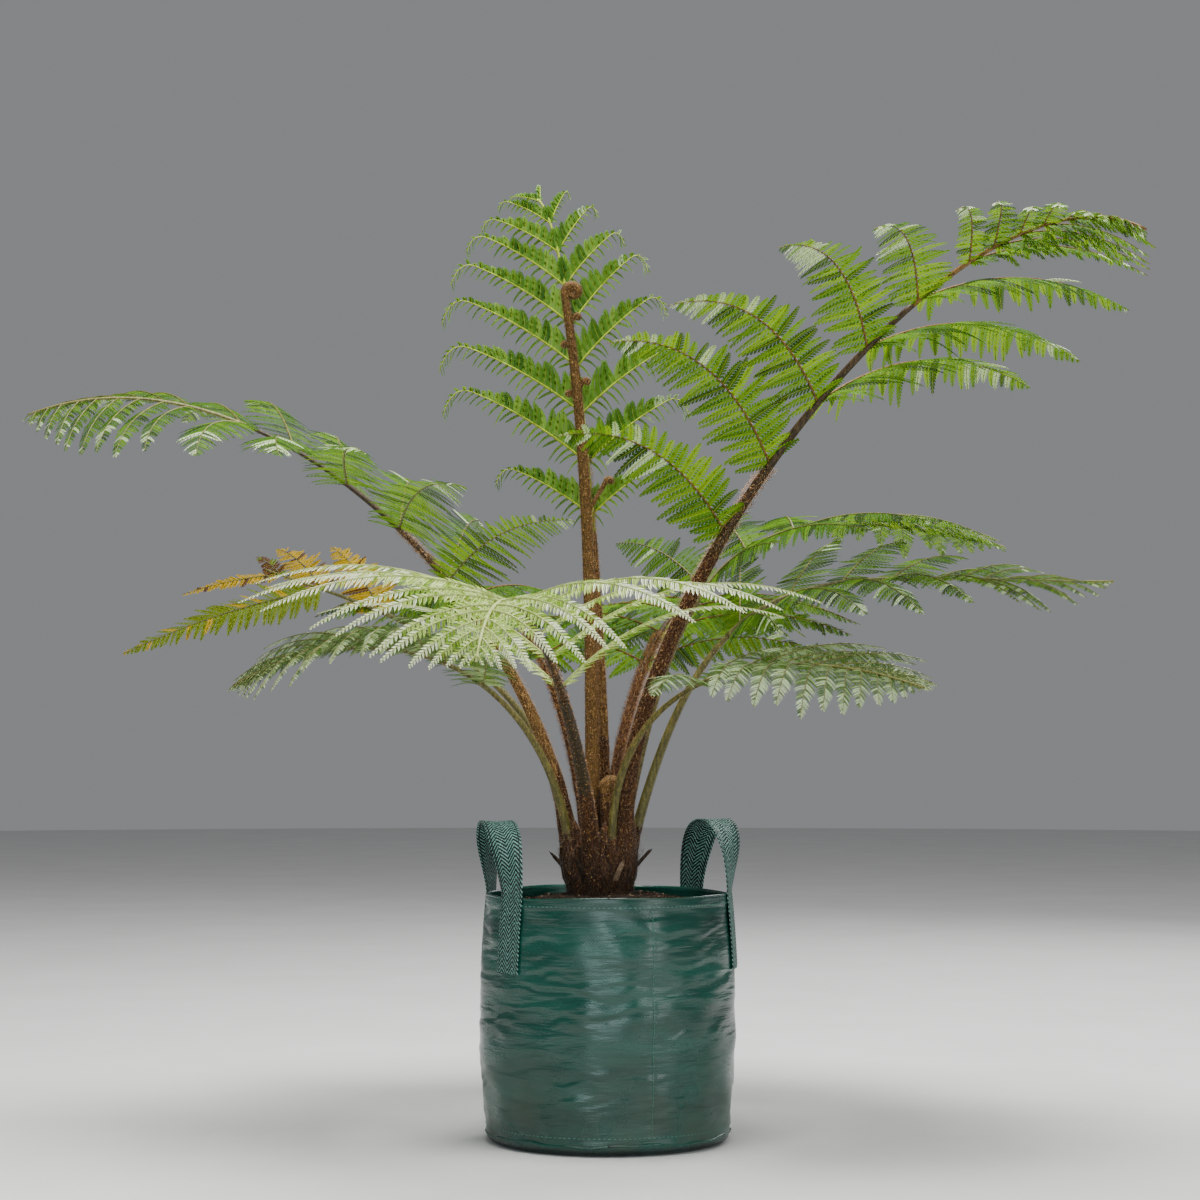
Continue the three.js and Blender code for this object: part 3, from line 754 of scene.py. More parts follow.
@dataclass
class LeafletPress:
    """Stamps out leaflets, each with its own place, size, sag and tint."""

    rows: dict[tuple[Leaflet, int], list[Array]] = field(default_factory=dict)
    COUNTS: tuple[int, ...] = (2, 3, 4, 5, 6, 8, 10, 12, 14, 17)

    def add(
        self, form: Leaflet, roots: Array, ways: Array, faces: Array, sizes: Array, tints: Array
    ) -> None:
        """Adds leaflets.

        Args:
            form: The form that they grow in.
            roots: Where each is joined to its rib.
            ways: The direction that each sets off in.
            faces: The direction that each one's upper side faces.
            sizes: Length, half width, sag and sideways bend of each, (n, 4).
            tints: The number of each one's finish.
        """
        wanted = np.clip(np.round(sizes[:, 0] / form.value[3]), self.COUNTS[0], self.COUNTS[-1])
        picked = np.abs(wanted[:, None] - np.array(self.COUNTS)).argmin(axis=1)
        table = np.concatenate([roots, ways, faces, sizes, tints[:, None]], axis=1)
        for number in np.unique(picked):
            key = (form, self.COUNTS[number])
            self.rows.setdefault(key, []).append(table[picked == number])

    @staticmethod
    def pattern(form: Leaflet, lobes: int) -> tuple[Array, Numbers, int]:
        """Cuts the pattern of a leaflet with lobes down both sides of a midrib.

        Args:
            form: The form, which says how deep the lobes are cut.
            lobes: How many lobes each side has.

        Returns:
            Points as shares of length, half width and half width upwards, the triangles, and how
            many of the last triangles are the midrib's.
        """
        pitch = 1 / (lobes + 0.7)
        (cut, blunt, wide, _), rib = form.value, 0.07
        points: list[Triple] = []
        faces: list[tuple[int, int, int]] = []
        edges: list[list[int]] = []

        def reach(share: float) -> float:
            """Gives the outline's half width at a share of the length."""
            heel = 0.85 + 0.15 * min(1.0, share / 0.12)
            return heel * (1 - min(share, 1.0) ** blunt) ** 0.8 + 0.06

        def point(share: float, across: float, up: float) -> int:
            """Adds a point and gives its number."""
            points.append((min(share, 1.0), across, up))
            return len(points) - 1

        for side in (1, -1):
            spine = [point(i * pitch, side * rib, -0.08) for i in range(lobes + 1)]
            edge = [point(i * pitch, side * cut * reach(i * pitch), 0) for i in range(lobes + 1)]
            spine.append(point(1.0, 0, -0.25))
            edges.append(spine)
            rows = []
            for i in range(lobes):
                full = reach((i + 0.5) * pitch)
                shift, out = 0.55 * pitch * full, side * full
                heel = point((i + wide) * pitch, side * cut * full, -0.06 * full)
                front = point((i + 0.94 * wide) * pitch + 0.8 * shift, 0.82 * out, -0.2 * full)
                nose = point((i + 0.6 * wide) * pitch + shift, out, -0.3 * full)
                back = point((i + 0.12 * wide) * pitch + 0.65 * shift, 0.8 * out, -0.18 * full)
                rows += [
                    (spine[i], spine[i + 1], edge[i + 1]),
                    (spine[i], edge[i + 1], edge[i]),
                    (edge[i], heel, front),
                    (edge[i], front, back),
                    (back, front, nose),
                ]
            rows.append((spine[lobes], spine[-1], edge[lobes]))
            faces += [row if side < 0 else row[::-1] for row in rows]
        knots = sorted({round(k) for k in np.linspace(0, lobes, min(lobes, 3) + 1)})
        ribs = []
        for low, high in zip(knots, knots[1:]):
            a, b, c, d = edges[0][low], edges[0][high], edges[1][high], edges[1][low]
            ribs += [(a, d, c), (a, c, b)]
        return np.array(points), np.array(faces + ribs), len(ribs)

    def stamp(self, skin: Skin, midrib: int) -> None:
        """Adds all the leaflets to a piece.

        Args:
            skin: The piece.
            midrib: The number of the finish that midribs take.
        """
        for (form, lobes), tables in self.rows.items():
            table = np.concatenate(tables)
            pattern, faces, ribs = self.pattern(form, lobes)
            root, way, face = table[:, None, 0:3], table[:, None, 3:6], table[:, None, 6:9]
            length, half, sag, bend = (table[:, None, k : k + 1] for k in (9, 10, 11, 12))
            across = np.cross(face, way)
            u, v, w = (pattern[None, :, k : k + 1] for k in range(3))
            curve = way * u + bend * across * u**2 - sag * UP * u**2
            points = root + length * curve + half * (v * across + w * face)
            tints = np.repeat(table[:, 13:14].astype(np.int64), len(faces), axis=1)
            tints[:, len(faces) - ribs :] = midrib
            skin.add_copies(points, faces, tints.ravel())


@dataclass(frozen=True)
class PinnaLine:
    """Middle line of one pinna, with the way it runs and its upper side at each point."""

    places: Array
    runs: Array
    tops: Array
    length: float

    def at(self, shares: Array) -> tuple[Array, Array, Array]:
        """Works out places on the rib.

        Args:
            shares: Shares of the length.

        Returns:
            The place, run and upper side at each.
        """
        own = np.linspace(0, 1, len(self.places))
        runs = unit(between(shares, own, self.runs))
        tops = square_to(between(shares, own, self.tops), runs)
        return between(shares, own, self.places), runs, tops


@dataclass(frozen=True)
class PinnaPlan:
    """One pinna that a frond bears, with the room that its leaflets have on each side."""

    share: float
    side: int
    length: float
    room: float
    angle: float
    lift: float
    flank: Flank
    curl: float
    tint: int | None


@dataclass(frozen=True)
class LeafletRow:
    """The leaflets on one side of a pinna's rib, before they take their form."""

    side: int
    shares: Array
    places: Array
    runs: Array
    tops: Array
    spacing: Array
    noise: Array
    tints: Numbers

    def ways(self, lean: Array, tilt: Array) -> tuple[Array, Array]:
        """Turns the leaflets away from the rib and out of the blade.

        Args:
            lean: Each one's angle from the rib's run.
            tilt: Each one's angle above the blade.

        Returns:
            The direction that each sets off in, and the way its upper side faces.
        """
        across = np.cross(self.tops, self.runs) * self.side
        aside = np.cos(tilt) * across + np.sin(tilt) * self.tops
        way = np.cos(lean) * self.runs + np.sin(lean) * aside
        return way, square_to(unit(np.cross(way, self.runs) * -self.side), way)


@dataclass
class Frond:
    """One frond: its stipe, rachis, ribs, leaflets and hairs."""

    habit: Habit
    finishes: Finishes
    seed: int
    RACHIS_TIP: float = 1.6
    SPACING_POWER: float = 1.5
    FIRST: float = 0.3
    WIDEST_AT: float = 0.25
    END: float = 1.01
    WIDTH_SHARE: float = 0.21
    CLOSING: float = 0.35
    STEPS: int = 24
    RACHIS_STEPS: int = 60
    DARK_STEPS: int = 33
    STIPE_STEPS: int = 40
    ODD_LEAFLETS: float = 0.14

    def __post_init__(self) -> None:
        """Works out the frond's line and starts its own run of chance."""
        self.line = MidLine(self.habit)
        self.chance = np.random.default_rng(self.seed)
        self.press = LeafletPress()
        self.ribs = Skin()

    def share_of_longest(self, share: float) -> float:
        """Works out how long a pinna grows.

        Args:
            share: Where it stands on the leafy stretch.

        Returns:
            Its length as a share of the longest.
        """
        if share < self.WIDEST_AT:
            return 1 - self.habit.loss * (1 - share / self.WIDEST_AT) ** 2
        past = (share - self.WIDEST_AT) / (self.END - self.WIDEST_AT)
        return (1 - past**2) ** self.habit.wane

    def plans(self) -> list[PinnaPlan]:
        """Lays out the pinnae by the rule of the solids, closer set towards the tip.

        Returns:
            The plan of each pinna.
        """
        habit = self.habit
        evenly = [(i + self.FIRST) / habit.pairs for i in range(habit.pairs)]
        places = [1 - (1 - share) ** self.SPACING_POWER for share in evenly]
        near = places[habit.close_from :]
        spots = sorted(places + [(a + b) / 2 for a, b in zip(near, near[1:])])
        leafy = self.line.length * (1 - habit.bare)
        plans = []
        for spot, share in enumerate(spots):
            after = spots[spot + 1] if spot + 1 < len(spots) else 1.0
            index = places.index(share) if share in places else -1
            for side, flank in ((1, habit.left), (-1, habit.right)):
                if share < flank.start:
                    continue
                length = flank.longest * self.share_of_longest(share)
                length *= HELD_BACK.get((habit.name, index, side), 1.0)
                room = (after - share) * leafy * math.sin(math.radians(flank.angle)) * flank.breadth
                jitter = self.chance.normal(0, 1, 3)
                plan = PinnaPlan(
                    share=mix(habit.bare, 1.0, share),
                    side=side,
                    length=length * (1 + 0.02 * jitter[0]),
                    room=min(length * self.WIDTH_SHARE * flank.breadth / 0.85, max(room, 14.0)),
                    angle=flank.angle * (1 - self.CLOSING * share**3) + 1.5 * jitter[1],
                    lift=mix(flank.lift[0], flank.lift[1], share) + 2.0 * jitter[2],
                    flank=flank,
                    curl=3.2 if habit.form is Leaflet.PLATE else 0.0,
                    tint=TURNED.get((habit.name, index, side)),
                )
                plans.append(plan)
        return plans

    def pinna_line(self, plan: PinnaPlan) -> PinnaLine:
        """Works out the middle line of a pinna by the rule of the solids.

        Args:
            plan: The pinna's plan.

        Returns:
            Its line.
        """
        stance = self.line.at(np.array([plan.share]))
        along, left, top = stance.along[0], stance.left[0], stance.top[0]
        turns = (plan.angle, plan.lift, plan.flank.bank)
        angle, lift, bank = (math.radians(turn) for turn in turns)
        start = math.cos(angle) * along
        start = start + math.sin(angle) * (plan.side * math.cos(lift) * left + math.sin(lift) * top)
        level = unit(np.cross(along, start) * plan.side)
        upper = square_to(math.cos(bank) * level + math.sin(bank) * along, start)
        places, runs, tops = [stance.place[0]], [start], [upper]
        for i in range(self.STEPS):
            part = (i + 0.5) / self.STEPS
            fall = plan.flank.sag * part + plan.curl * (max(0.0, part - 0.74) / 0.26) ** 1.5
            run = unit(start - fall * UP - plan.flank.hook * part * along)
            upper = square_to(upper, run)
            places.append(places[-1] + run * plan.length / self.STEPS)
            runs.append(run)
            tops.append(upper)
        return PinnaLine(np.array(places), np.array(runs), np.array(tops), plan.length)

    def grow_pinna(self, plan: PinnaPlan) -> None:
        """Adds one pinna's rib and leaflets.

        Args:
            plan: The pinna's plan.
        """
        line = self.pinna_line(plan)
        plates = self.habit.form is Leaflet.PLATE
        thick = (0.7 + 1.5 * min(1.0, plan.length / 420)) * (1.35 if plates else 1.0)
        radii = thick * np.linspace(1, 0.25, self.STEPS + 1)
        add_tube(self.ribs, line.places, radii, 5, line.tops[0], 1)
        gap = float(np.clip(plan.length * (0.075 if plates else 0.045), 5.2, self.habit.gap))
        count = max(4, round(plan.length / gap))
        for side in (1, -1):
            shares = 1 - (1 - (np.arange(count) + 0.55 + 0.25 * side) / (count + 0.6)) ** 1.12
            noise = self.chance.normal(0, 1, (count, 5))
            spacing = np.gradient(shares) * plan.length
            tints = self.deal(plan, shares)
            row = LeafletRow(side, shares, *line.at(shares), spacing, noise, tints)
            if plates:
                self.grow_plates(plan, row)
            else:
                self.grow_comb(plan, row)

    def grow_comb(self, plan: PinnaPlan, row: LeafletRow) -> None:
        """Adds a row of lobed leaflets, longest before the middle of the pinna.

        Args:
            plan: The pinna's plan.
            row: The leaflets on one side of its rib.
        """
        noise, shares = row.noise, row.shares
        outline = (0.66 + 0.34 * np.minimum(1, shares / 0.2)) * (1 - shares**1.8) ** 0.85
        length = plan.room * outline * (1 + 0.05 * noise[:, 0]) + 2.5
        lean = np.radians(mix(72, 52, shares) + 3 * noise[:, 1])[:, None]
        ruffle = self.habit.ruffle
        way, face = row.ways(lean, np.radians(-8 + 36 * ruffle * noise[:, 2])[:, None])
        turned = ruffle * self.chance.normal(0, 1, (len(shares), 1)) * np.cross(face, way)
        face = square_to(face + turned, way)
        fill = self.habit.fill * (1 - 0.34 * shares**2)
        half = np.minimum(fill * row.spacing, length * 0.24 + 0.8)
        sag = plan.flank.hang * (1 + 0.3 * noise[:, 3])
        bend = -0.1 * row.side * (1 + 0.4 * noise[:, 4])
        sizes = np.stack([length, half, sag, bend], axis=1)
        self.press.add(self.habit.form, row.places, way, face, sizes, row.tints)

    def grow_plates(self, plan: PinnaPlan, row: LeafletRow) -> None:
        """Adds leaflets of a frond that is still opening: plates above the rib, hooks below.

        Args:
            plan: The pinna's plan.
            row: The leaflets on one side of its rib.
        """
        noise, spacing = row.noise, row.spacing
        upward = row.side * plan.side < 0
        shares = 1 - np.cumsum(spacing[::-1])[::-1] / np.sum(spacing)
        taper = np.clip(1 - shares, 0, 1) ** (0.95 if upward else 0.35)
        length = plan.room * taper * (1.08 if upward else 0.52) * (1 + 0.06 * noise[:, 0]) + 3
        lean = np.radians((74 if upward else 52) + 4 * noise[:, 1])[:, None]
        way, face = row.ways(lean, np.radians((16 if upward else -20) + 6 * noise[:, 2])[:, None])
        claw = np.clip((shares - 0.5) / 0.3, 0, 1)
        wide, slim = (0.68, 0.46) if upward else (0.19, 0.2)
        half = np.minimum(wide * spacing, length * slim + 0.6) * (1 - 0.55 * claw)
        sag = (0.02 + 0.6 * claw if upward else 0.75) * (1 + 0.3 * noise[:, 3])
        bend = (-0.34 if upward else -0.16) * row.side * (1 + 0.3 * noise[:, 4])
        sizes = np.stack([length, half, sag, bend], axis=1)
        self.press.add(Leaflet.PLATE, row.places, way, face, sizes, row.tints)

    def deal(self, plan: PinnaPlan, shares: Array) -> Numbers:
        """Deals out leaf colours to a row of leaflets, with painted sheen near the pinna's tip.

        Args:
            plan: The pinna's plan.
            shares: Where along the pinna each leaflet stands.

        Returns:
            The number of each one's finish.
        """
        if plan.tint is not None:
            odd = self.chance.uniform(0, 1, len(shares)) < self.ODD_LEAFLETS
            return np.where(odd, (plan.tint + 1) % 3, plan.tint)
        tints = self.chance.choice(3, len(shares), p=plan.flank.dealt)
        # Leaflets near the tip may take tint 3, a pale tint painted as sheen of reflected light.
        likely = plan.flank.painted_sheen * np.clip((shares - 0.4) / 0.4, 0, 1)
        return np.where(self.chance.uniform(0, 1, len(shares)) < likely, 3, tints)

    def build(self) -> None:
        """Builds the frond's pieces."""
        habit = self.habit
        for plan in self.plans():
            self.grow_pinna(plan)
        shares = np.linspace(habit.bare, 1, self.RACHIS_STEPS)
        radii = mix(habit.neck, self.RACHIS_TIP, np.linspace(0, 1, self.RACHIS_STEPS) ** 0.75)
        rachis, turn = self.line.at(shares).place, self.DARK_STEPS
        add_tube(self.ribs, rachis[: turn + 1], radii[: turn + 1], 10, self.line.side)
        add_tube(self.ribs, rachis[turn:], radii[turn:], 10, self.line.side, 1)
        self.ribs.put("ribs_" + habit.name, pick(self.finishes, *habit.ribs), habit.stipe.value)
        leaves = Skin()
        self.press.stamp(leaves, len(habit.tints) - 1)
        tints = pick(self.finishes, *habit.tints)
        leaves.put("leaflets_" + habit.name, tints, habit.slot, ("frond_" + habit.name,))
        self.build_stipe()

    def build_stipe(self) -> None:
        """Builds the stipe, grooved along its length, and its hairs where it has them."""
        habit, steps = self.habit, self.STIPE_STEPS
        shares = np.linspace(0, habit.bare, steps)
        stance = self.line.at(shares)
        part = np.linspace(0, 1, steps)
        swell = 1 + 0.12 * np.exp(-part / 0.1)
        radii = mix(habit.thick, habit.neck, part) * swell * (FURRED_SWELL if habit.furred else 1.0)
        turn = np.linspace(0, 2 * math.pi, 25)
        groove = 1 - 0.14 * np.maximum(0, np.cos(turn - math.pi / 2)) ** 6 + 0.03 * np.cos(5 * turn)
        cosines, sines = np.cos(turn)[:, None], np.sin(turn)[:, None]
        rings = stance.left[:, None] * cosines + stance.top[:, None] * sines
        grid = stance.place[:, None] + rings * (radii[:, None] * groove)[:, :, None]
        flat = [turn[None, :] * habit.thick * MM, shares[:, None] * self.line.length * MM]
        skin = Skin()
        add_grid(skin, grid, np.stack(np.broadcast_arrays(*flat), axis=-1))
        coat = COATS.get(habit.name, COATS[habit.stipe.value])
        bark, stands_for = pick(self.finishes, coat.bark), ("stipe_" + habit.name,)
        skin.put("stalk_" + habit.name, bark, habit.stipe.value, stands_for)
        fur = Fur(self.chance, coat.longest, coat.per_metre, 0.75, coat.shades)
        hairs = Skin()
        reach = np.linspace(0, habit.bare + (0.12 if habit.furred else 0), 60)
        far = self.line.at(reach)
        fur.grow(hairs, far.place, np.interp(reach, shares, radii), far.along)
        shades = pick(self.finishes, "golden_hair", "rust_hair", "dark_hair")
        hairs.put("hairs_" + habit.name, shades, "hairy_stipe", smooth=False)


@dataclass(frozen=True)
class Coat:
    """Bark and hair of a stipe, with the shares of golden, rust and dark hair."""

    bark: str
    longest: float
    per_metre: int
    shades: Triple


@dataclass
class Fur:
    """Curly hairs that stand off a stalk, dealt out in three shades, the last one near the mix."""

    chance: np.random.Generator
    longest: float
    per_metre: int
    width: float
    shades: Triple
    dark_under: float = 415.0

    def grow(self, skin: Skin, places: Array, radii: Array, along: Array) -> None:
        """Adds hairs all round a stalk.

        Args:
            skin: The piece to add to.
            places: Points of the stalk's middle line.
            radii: Its radius at each.
            along: The way it runs at each.
        """
        lengths = distances(places)
        count = int(self.per_metre * lengths[-1] * MM)
        spots = self.chance.uniform(0, lengths[-1], count)
        centre = between(spots, lengths, places)
        run = unit(between(spots, lengths, along))
        radius = np.interp(spots, lengths, radii)
        turn = self.chance.uniform(0, 2 * math.pi, count)[:, None]
        side = square_to(np.broadcast_to([0.3, 0.9, 0.1], run.shape), run)
        out = np.cos(turn) * side + np.sin(turn) * np.cross(run, side)
        drift = self.chance.normal(0, 0.4, (count, 3))
        way = unit(out + self.chance.normal(0.15, 0.45, (count, 1)) * run + drift)
        long = self.longest * self.chance.uniform(0.35, 1, (count, 1))
        long = long * np.minimum(1, 0.3 + radius / 8)[:, None]
        base = centre + out * radius[:, None] * 0.96
        breadth = unit(np.cross(way, run)) * self.width / 2
        bent = unit(way + self.chance.normal(0, 0.7, (count, 3)))
        middle = base + way * long * 0.55
        tip = middle + bent * long * 0.5
        rows = [base - breadth, base + breadth, middle - 0.8 * breadth, middle + 0.8 * breadth, tip]
        faces = np.array([[0, 1, 3], [0, 3, 2], [2, 3, 4]])
        tints = self.chance.choice(len(self.shades), count, p=self.shades)
        # Hairs towards the bottom mostly take the darkest hair colour.
        low_down = self.chance.uniform(0, 1, count) < (self.dark_under + 50 - base[:, 2]) / 90
        skin.add_copies(np.stack(rows, axis=1), faces, np.where(low_down, 2, tints).repeat(3))


@dataclass
class Crozier:
    """A frond that is still coiled, with its side buds and hair.

    Attributes:
        name: Name of its solid.
        foot: Where it leaves the trunk, from the crown's axis.
        height: Height where the coil begins.
        drift: How far the stalk bends towards +X on its way up.
        thick: Radius of the stalk at its foot.
        thin: Radius where the coil begins.
        coil: Outer radius of the coil.
        turns: How many turns the coil has.
        buds: Share of the height, side, stalk length and coil radius of each side bud.
    """

    name: str
    foot: Triple
    height: float
    drift: float
    thick: float
    thin: float
    coil: float
    turns: float
    buds: tuple[tuple[float, int, float, float], ...]
    TIGHTENING: float = 0.62
    THINNING: float = 0.5
    INNER_TURNS: float = 0.7

    def coil_line(
        self, top: Array, across: Array, radius: float, turns: float, thick: float
    ) -> tuple[Array, Array]:
        """Works out a coil by the rule of the solids.

        Args:
            top: Where the coil begins.
            across: The way to its middle.
            radius: Its outer radius.
            turns: How many turns it has.
            thick: The stalk's radius where it begins.

        Returns:
            Points of its middle line and the radius at each.
        """
        wound = turns + self.INNER_TURNS
        turned = np.linspace(0, wound, round(wound * 40) + 1)[1:]
        share = np.minimum(1, turned / turns)
        inner = np.maximum(0, (turned - turns) / self.INNER_TURNS)
        swing = 2 * math.pi * turned
        reach = radius * (1 - self.TIGHTENING * share) * (1 - 0.75 * inner)
        aside = across * (radius - reach * np.cos(swing))[:, None]
        places = top + aside + UP * (reach * np.sin(swing))[:, None]
        return places, thick * (1 - (1 - self.THINNING) * share)

    def stem(self, share: Array) -> tuple[Array, Array]:
        """Works out the stem.

        Args:
            share: Shares of its height.

        Returns:
            The place and radius at each.
        """
        foot = CROWN + np.array(self.foot)
        share = np.atleast_1d(share)[:, None]
        moved = np.array([1.0, 0, 0]) * self.drift * share**3
        places = foot + moved + UP * (self.height - foot[2]) * share
        return places, mix(self.thick, self.thin, share[:, 0])

    def build(self, finishes: Finishes, seed: int) -> None:
        """Builds the stalk and its hairs.

        Args:
            finishes: The part's materials by name.
            seed: Start of its own run of chance.
        """
        chance = np.random.default_rng(seed)
        skin, hairs = Skin(), Skin()
        across = np.array([1.0, 0, 0])
        places, radii = self.stem(np.linspace(0, 1, 60))
        coil, coil_radii = self.coil_line(places[-1], across, self.coil, self.turns, self.thin)
        lines = [(np.concatenate([places, coil]), np.concatenate([radii, coil_radii]))]
        for at, side, stalk, ring in self.buds:
            root = self.stem(np.array([at]))[0][0]
            way = np.array([0.5 * side, 0, 0.86])
            end = root + way * stalk
            knob, knob_radii = self.coil_line(end, across * side, ring, 0.75, 4.2)
            shaft = root + (end - root) * np.linspace(0, 1, 10)[:, None]
            line = np.concatenate([shaft, knob])
            lines.append((line, np.concatenate([np.linspace(2.7, 3.6, 10), knob_radii])))
        fur = Fur(chance, 6.5, 11000, 0.75, (0.5, 0.42, 0.08))
        for line, thickness in lines:
            add_tube(skin, line, thickness, 14, FRONT)
            fur.grow(hairs, line, thickness, unit(np.gradient(line, axis=0)))
        skin.put(self.name + "_stalk", pick(finishes, "coiled_bark"), "hairy_stipe", (self.name,))
        shades = pick(finishes, "rust_hair", "golden_hair", "dark_hair")
        hairs.put(self.name + "_hairs", shades, "hairy_stipe", smooth=False)


@dataclass
class Trunk:
    """The short trunk of packed stipe bases and matted fibre, with old cut stubs."""

    foot: float = 335.0
    top: float = 474.0
    profile: Pairs = ((40, 0), (45, 0.28), (50, 0.46), (59, 0.7), (64, 0.82), (58, 0.94), (28, 1))
    stubs: Pairs = ((-84, 400), (84, 402), (26, 386), (-28, 392), (156, 398))
    stub_length: float = 66.0
    stub_radius: float = 8.5
    stub_tilt: float = 42.0
    stub_root: float = 36.0
    base_radius: float = 12.5
    fibres: int = 800
    CORE_SHARE: float = 0.78
    PALE_STUB: int = 3

    def radius(self, share: Array) -> Array:
        """Gives the trunk's radius at a share of its height."""
        return np.interp(share, [s for _, s in self.profile], [r for r, _ in self.profile])

    def build(self, finishes: Finishes, seed: int) -> None:
        """Builds the trunk, its fibres and its stubs.

        Args:
            finishes: The part's materials by name.
            seed: Start of its own run of chance.
        """
        chance = np.random.default_rng(seed)
        turn = np.linspace(0, 2 * math.pi, 181)
        share = np.linspace(0, 1, 70)
        up = share[:, None]
        waves = sum(
            chance.uniform(0.4, 1.1) * np.sin(k * turn[None, :] + chance.uniform(0, 6) + up * twist)
            for k, twist in ((5, 2.0), (9, -3.0), (14, 4.0), (23, 6.0), (37, -8.0))
        )
        ridges = 2.6 * np.abs(np.sin(5.5 * turn[None, :] + 1.2 * up)) - 1.6
        dome = 1 - 0.5 * np.clip((share - 0.72) / 0.28, 0, 1) ** 1.5
        reach = (self.CORE_SHARE * self.radius(share) * dome)[:, None]
        reach = reach + (1.3 * waves + ridges) * (1 - up**8)
        grid = CROWN + around(turn, 1.0, 0.0)[None] * reach[:, :, None]
        grid[:, :, 2] = mix(self.foot, self.top, share)[:, None]
        grid[:, -1] = grid[:, 0]
        cap = np.broadcast_to(CROWN + UP * (self.top - 4), grid[:1].shape)
        skin = Skin()
        add_grid(skin, np.concatenate([grid, cap]))
        # The core shows only between stipe bases: near-black, its own dark fibre and painted
        # crevice shade.
        skin.put("trunk", pick(finishes, "trunk_bark_crevice_shade"), "trunk_fibre", ("caudex",))
        self.build_bases(finishes, chance)
        self.build_fibres(finishes, chance)
        self.build_stubs(finishes, chance)

    def base_lines(self, chance: np.random.Generator) -> list[tuple[Array, Array]]:
        """Works out the swollen stipe bases that the trunk is made of, old ones among the new.

        Args:
            chance: The trunk's own run of chance.

        Returns:
            Middle line and radii of each, from the top down.
        """
        tops = []
        fade = np.linspace(0, 1, 10)
        for habit in HABITS:
            line = MidLine(habit)
            longest = (120.0, 190.0) if habit.furred else (25.0, 55.0)
            part = np.linspace(chance.uniform(*longest) / line.length, 0, 10)
            stalk = mix(habit.thick, habit.neck, part / habit.bare)
            stalk = stalk * (FURRED_SWELL if habit.furred else 1.0)
            swell = mix(1.0, 1.25 if habit.furred else 1.5, fade**1.4)
            tops.append((line.at(part).place, stalk * swell))
        for crozier in CROZIERS:
            places, radii = crozier.stem(np.linspace(95 / (crozier.height - STALK_FOOT), 0, 10))
            tops.append((places, radii * mix(1.0, 1.35, fade**1.4)))
        for angle in np.arange(12, 372, 33):
            out = from_front(angle + chance.uniform(-6, 6))
            height = chance.uniform(452, 500)
            reach = chance.uniform(38, 46) + np.linspace(0.16 * (height - STALK_FOOT), 0, 10)
            levels = np.linspace(height, STALK_FOOT, 10)
            places = CROWN + out * reach[:, None] + UP * levels[:, None]
            tops.append((places, 11 * np.linspace(0.02, 1, 10) ** 0.6))
        return [self.rooted(places, radii) for places, radii in tops]

    def rooted(self, places: Array, radii: Array) -> tuple[Array, Array]:
        """Carries a stipe base on down the trunk's side to its foot.

        Args:
            places: Middle line of the base, from the top down to the crown.
            radii: Its radius at each point.

        Returns:
            The whole middle line and radii.
        """
        foot = places[-1] - CROWN
        out = unit(foot * [1, 1, 0])
        levels = np.linspace(foot[2], self.foot + 8, 14)[1:]
        share = (levels - self.foot) / (self.top - self.foot)
        fade = np.linspace(0, 1, 13)
        thick = mix(radii[-1], self.base_radius, fade**0.6)
        wall = np.minimum(self.radius(share) - 0.62 * thick, 60)
        reach = mix(np.linalg.norm(foot[:2]), wall, np.clip(fade / 0.35, 0, 1))
        below = CROWN + out * reach[:, None] + UP * levels[:, None]
        return np.concatenate([places, below]), np.concatenate([radii, thick])

    def build_bases(self, finishes: Finishes, chance: np.random.Generator) -> None:
        """Builds the stipe bases and the fur on them.

        Args:
            finishes: The part's materials by name.
            chance: The trunk's own run of chance.
        """
        skin, hairs = Skin(), Skin()
        fur = Fur(chance, 6.5, 5400, 0.85, (0.28, 0.34, 0.38))
        for places, radii in self.base_lines(chance):
            waved = radii * (1 + 0.05 * np.sin(np.arange(len(radii)) * 1.7 + chance.uniform(0, 6)))
            add_tube(skin, places, waved, 18, FRONT)
            fur.grow(hairs, places, waved, unit(np.gradient(places, axis=0)))
        skin.put("stipe_bases", pick(finishes, "furred_bark"), "trunk_fibre")
        shades = pick(finishes, "golden_hair", "rust_hair", "dark_hair")
        hairs.put("base_hairs", shades, "trunk_fibre", smooth=False)

    def build_fibres(self, finishes: Finishes, chance: np.random.Generator) -> None:
        """Lays loose root fibres down the trunk.

        Args:
            finishes: The part's materials by name.
            chance: The trunk's own run of chance.
        """
        skin = Skin()
        count, steps = self.fibres, 5
        turn = chance.uniform(0, 2 * math.pi, count)
        start = chance.triangular(0.12, 0.62, 1.3, count)
        length = chance.uniform(12, 42, count)
        part = np.linspace(0, 1, steps)
        drop = length[:, None] * part * chance.uniform(0.5, 1, (count, 1))
        height = mix(self.foot, self.top, start)[:, None] - drop
        share = np.clip((height - self.foot) / (self.top - self.foot), 0, 0.88)
        swing = turn[:, None] + chance.normal(0, 0.16, (count, 1)) * part + 0.04 * np.sin(9 * part)
        lift = chance.uniform(0.5, 5, (count, 1)) * np.sin(math.pi * part)
        lift = lift + chance.uniform(-0.5, 3, (count, 1))
        middle = CROWN + around(swing, self.radius(share) + lift + 1.5, height)
        width = (chance.uniform(0.5, 1.3, (count, 1)) * (1 - part) ** 0.5 + 0.1)[:, :, None]
        side = np.stack([np.cos(swing), np.sin(swing), np.zeros_like(swing)], axis=-1)
        points = np.stack([middle - side * width / 2, middle + side * width / 2], axis=2)
        quads = np.array([[2 * i, 2 * i + 1, 2 * i + 3, 2 * i + 2] for i in range(steps - 1)])
        dark = (chance.uniform(0, 1, count) < 0.3).repeat(len(quads))
        skin.add_copies(points.reshape(count, -1, 3), quads, dark)
        both = pick(finishes, "root_fibre", "dark_hair")
        skin.put("trunk_fibres", both, "trunk_fibre", smooth=False)

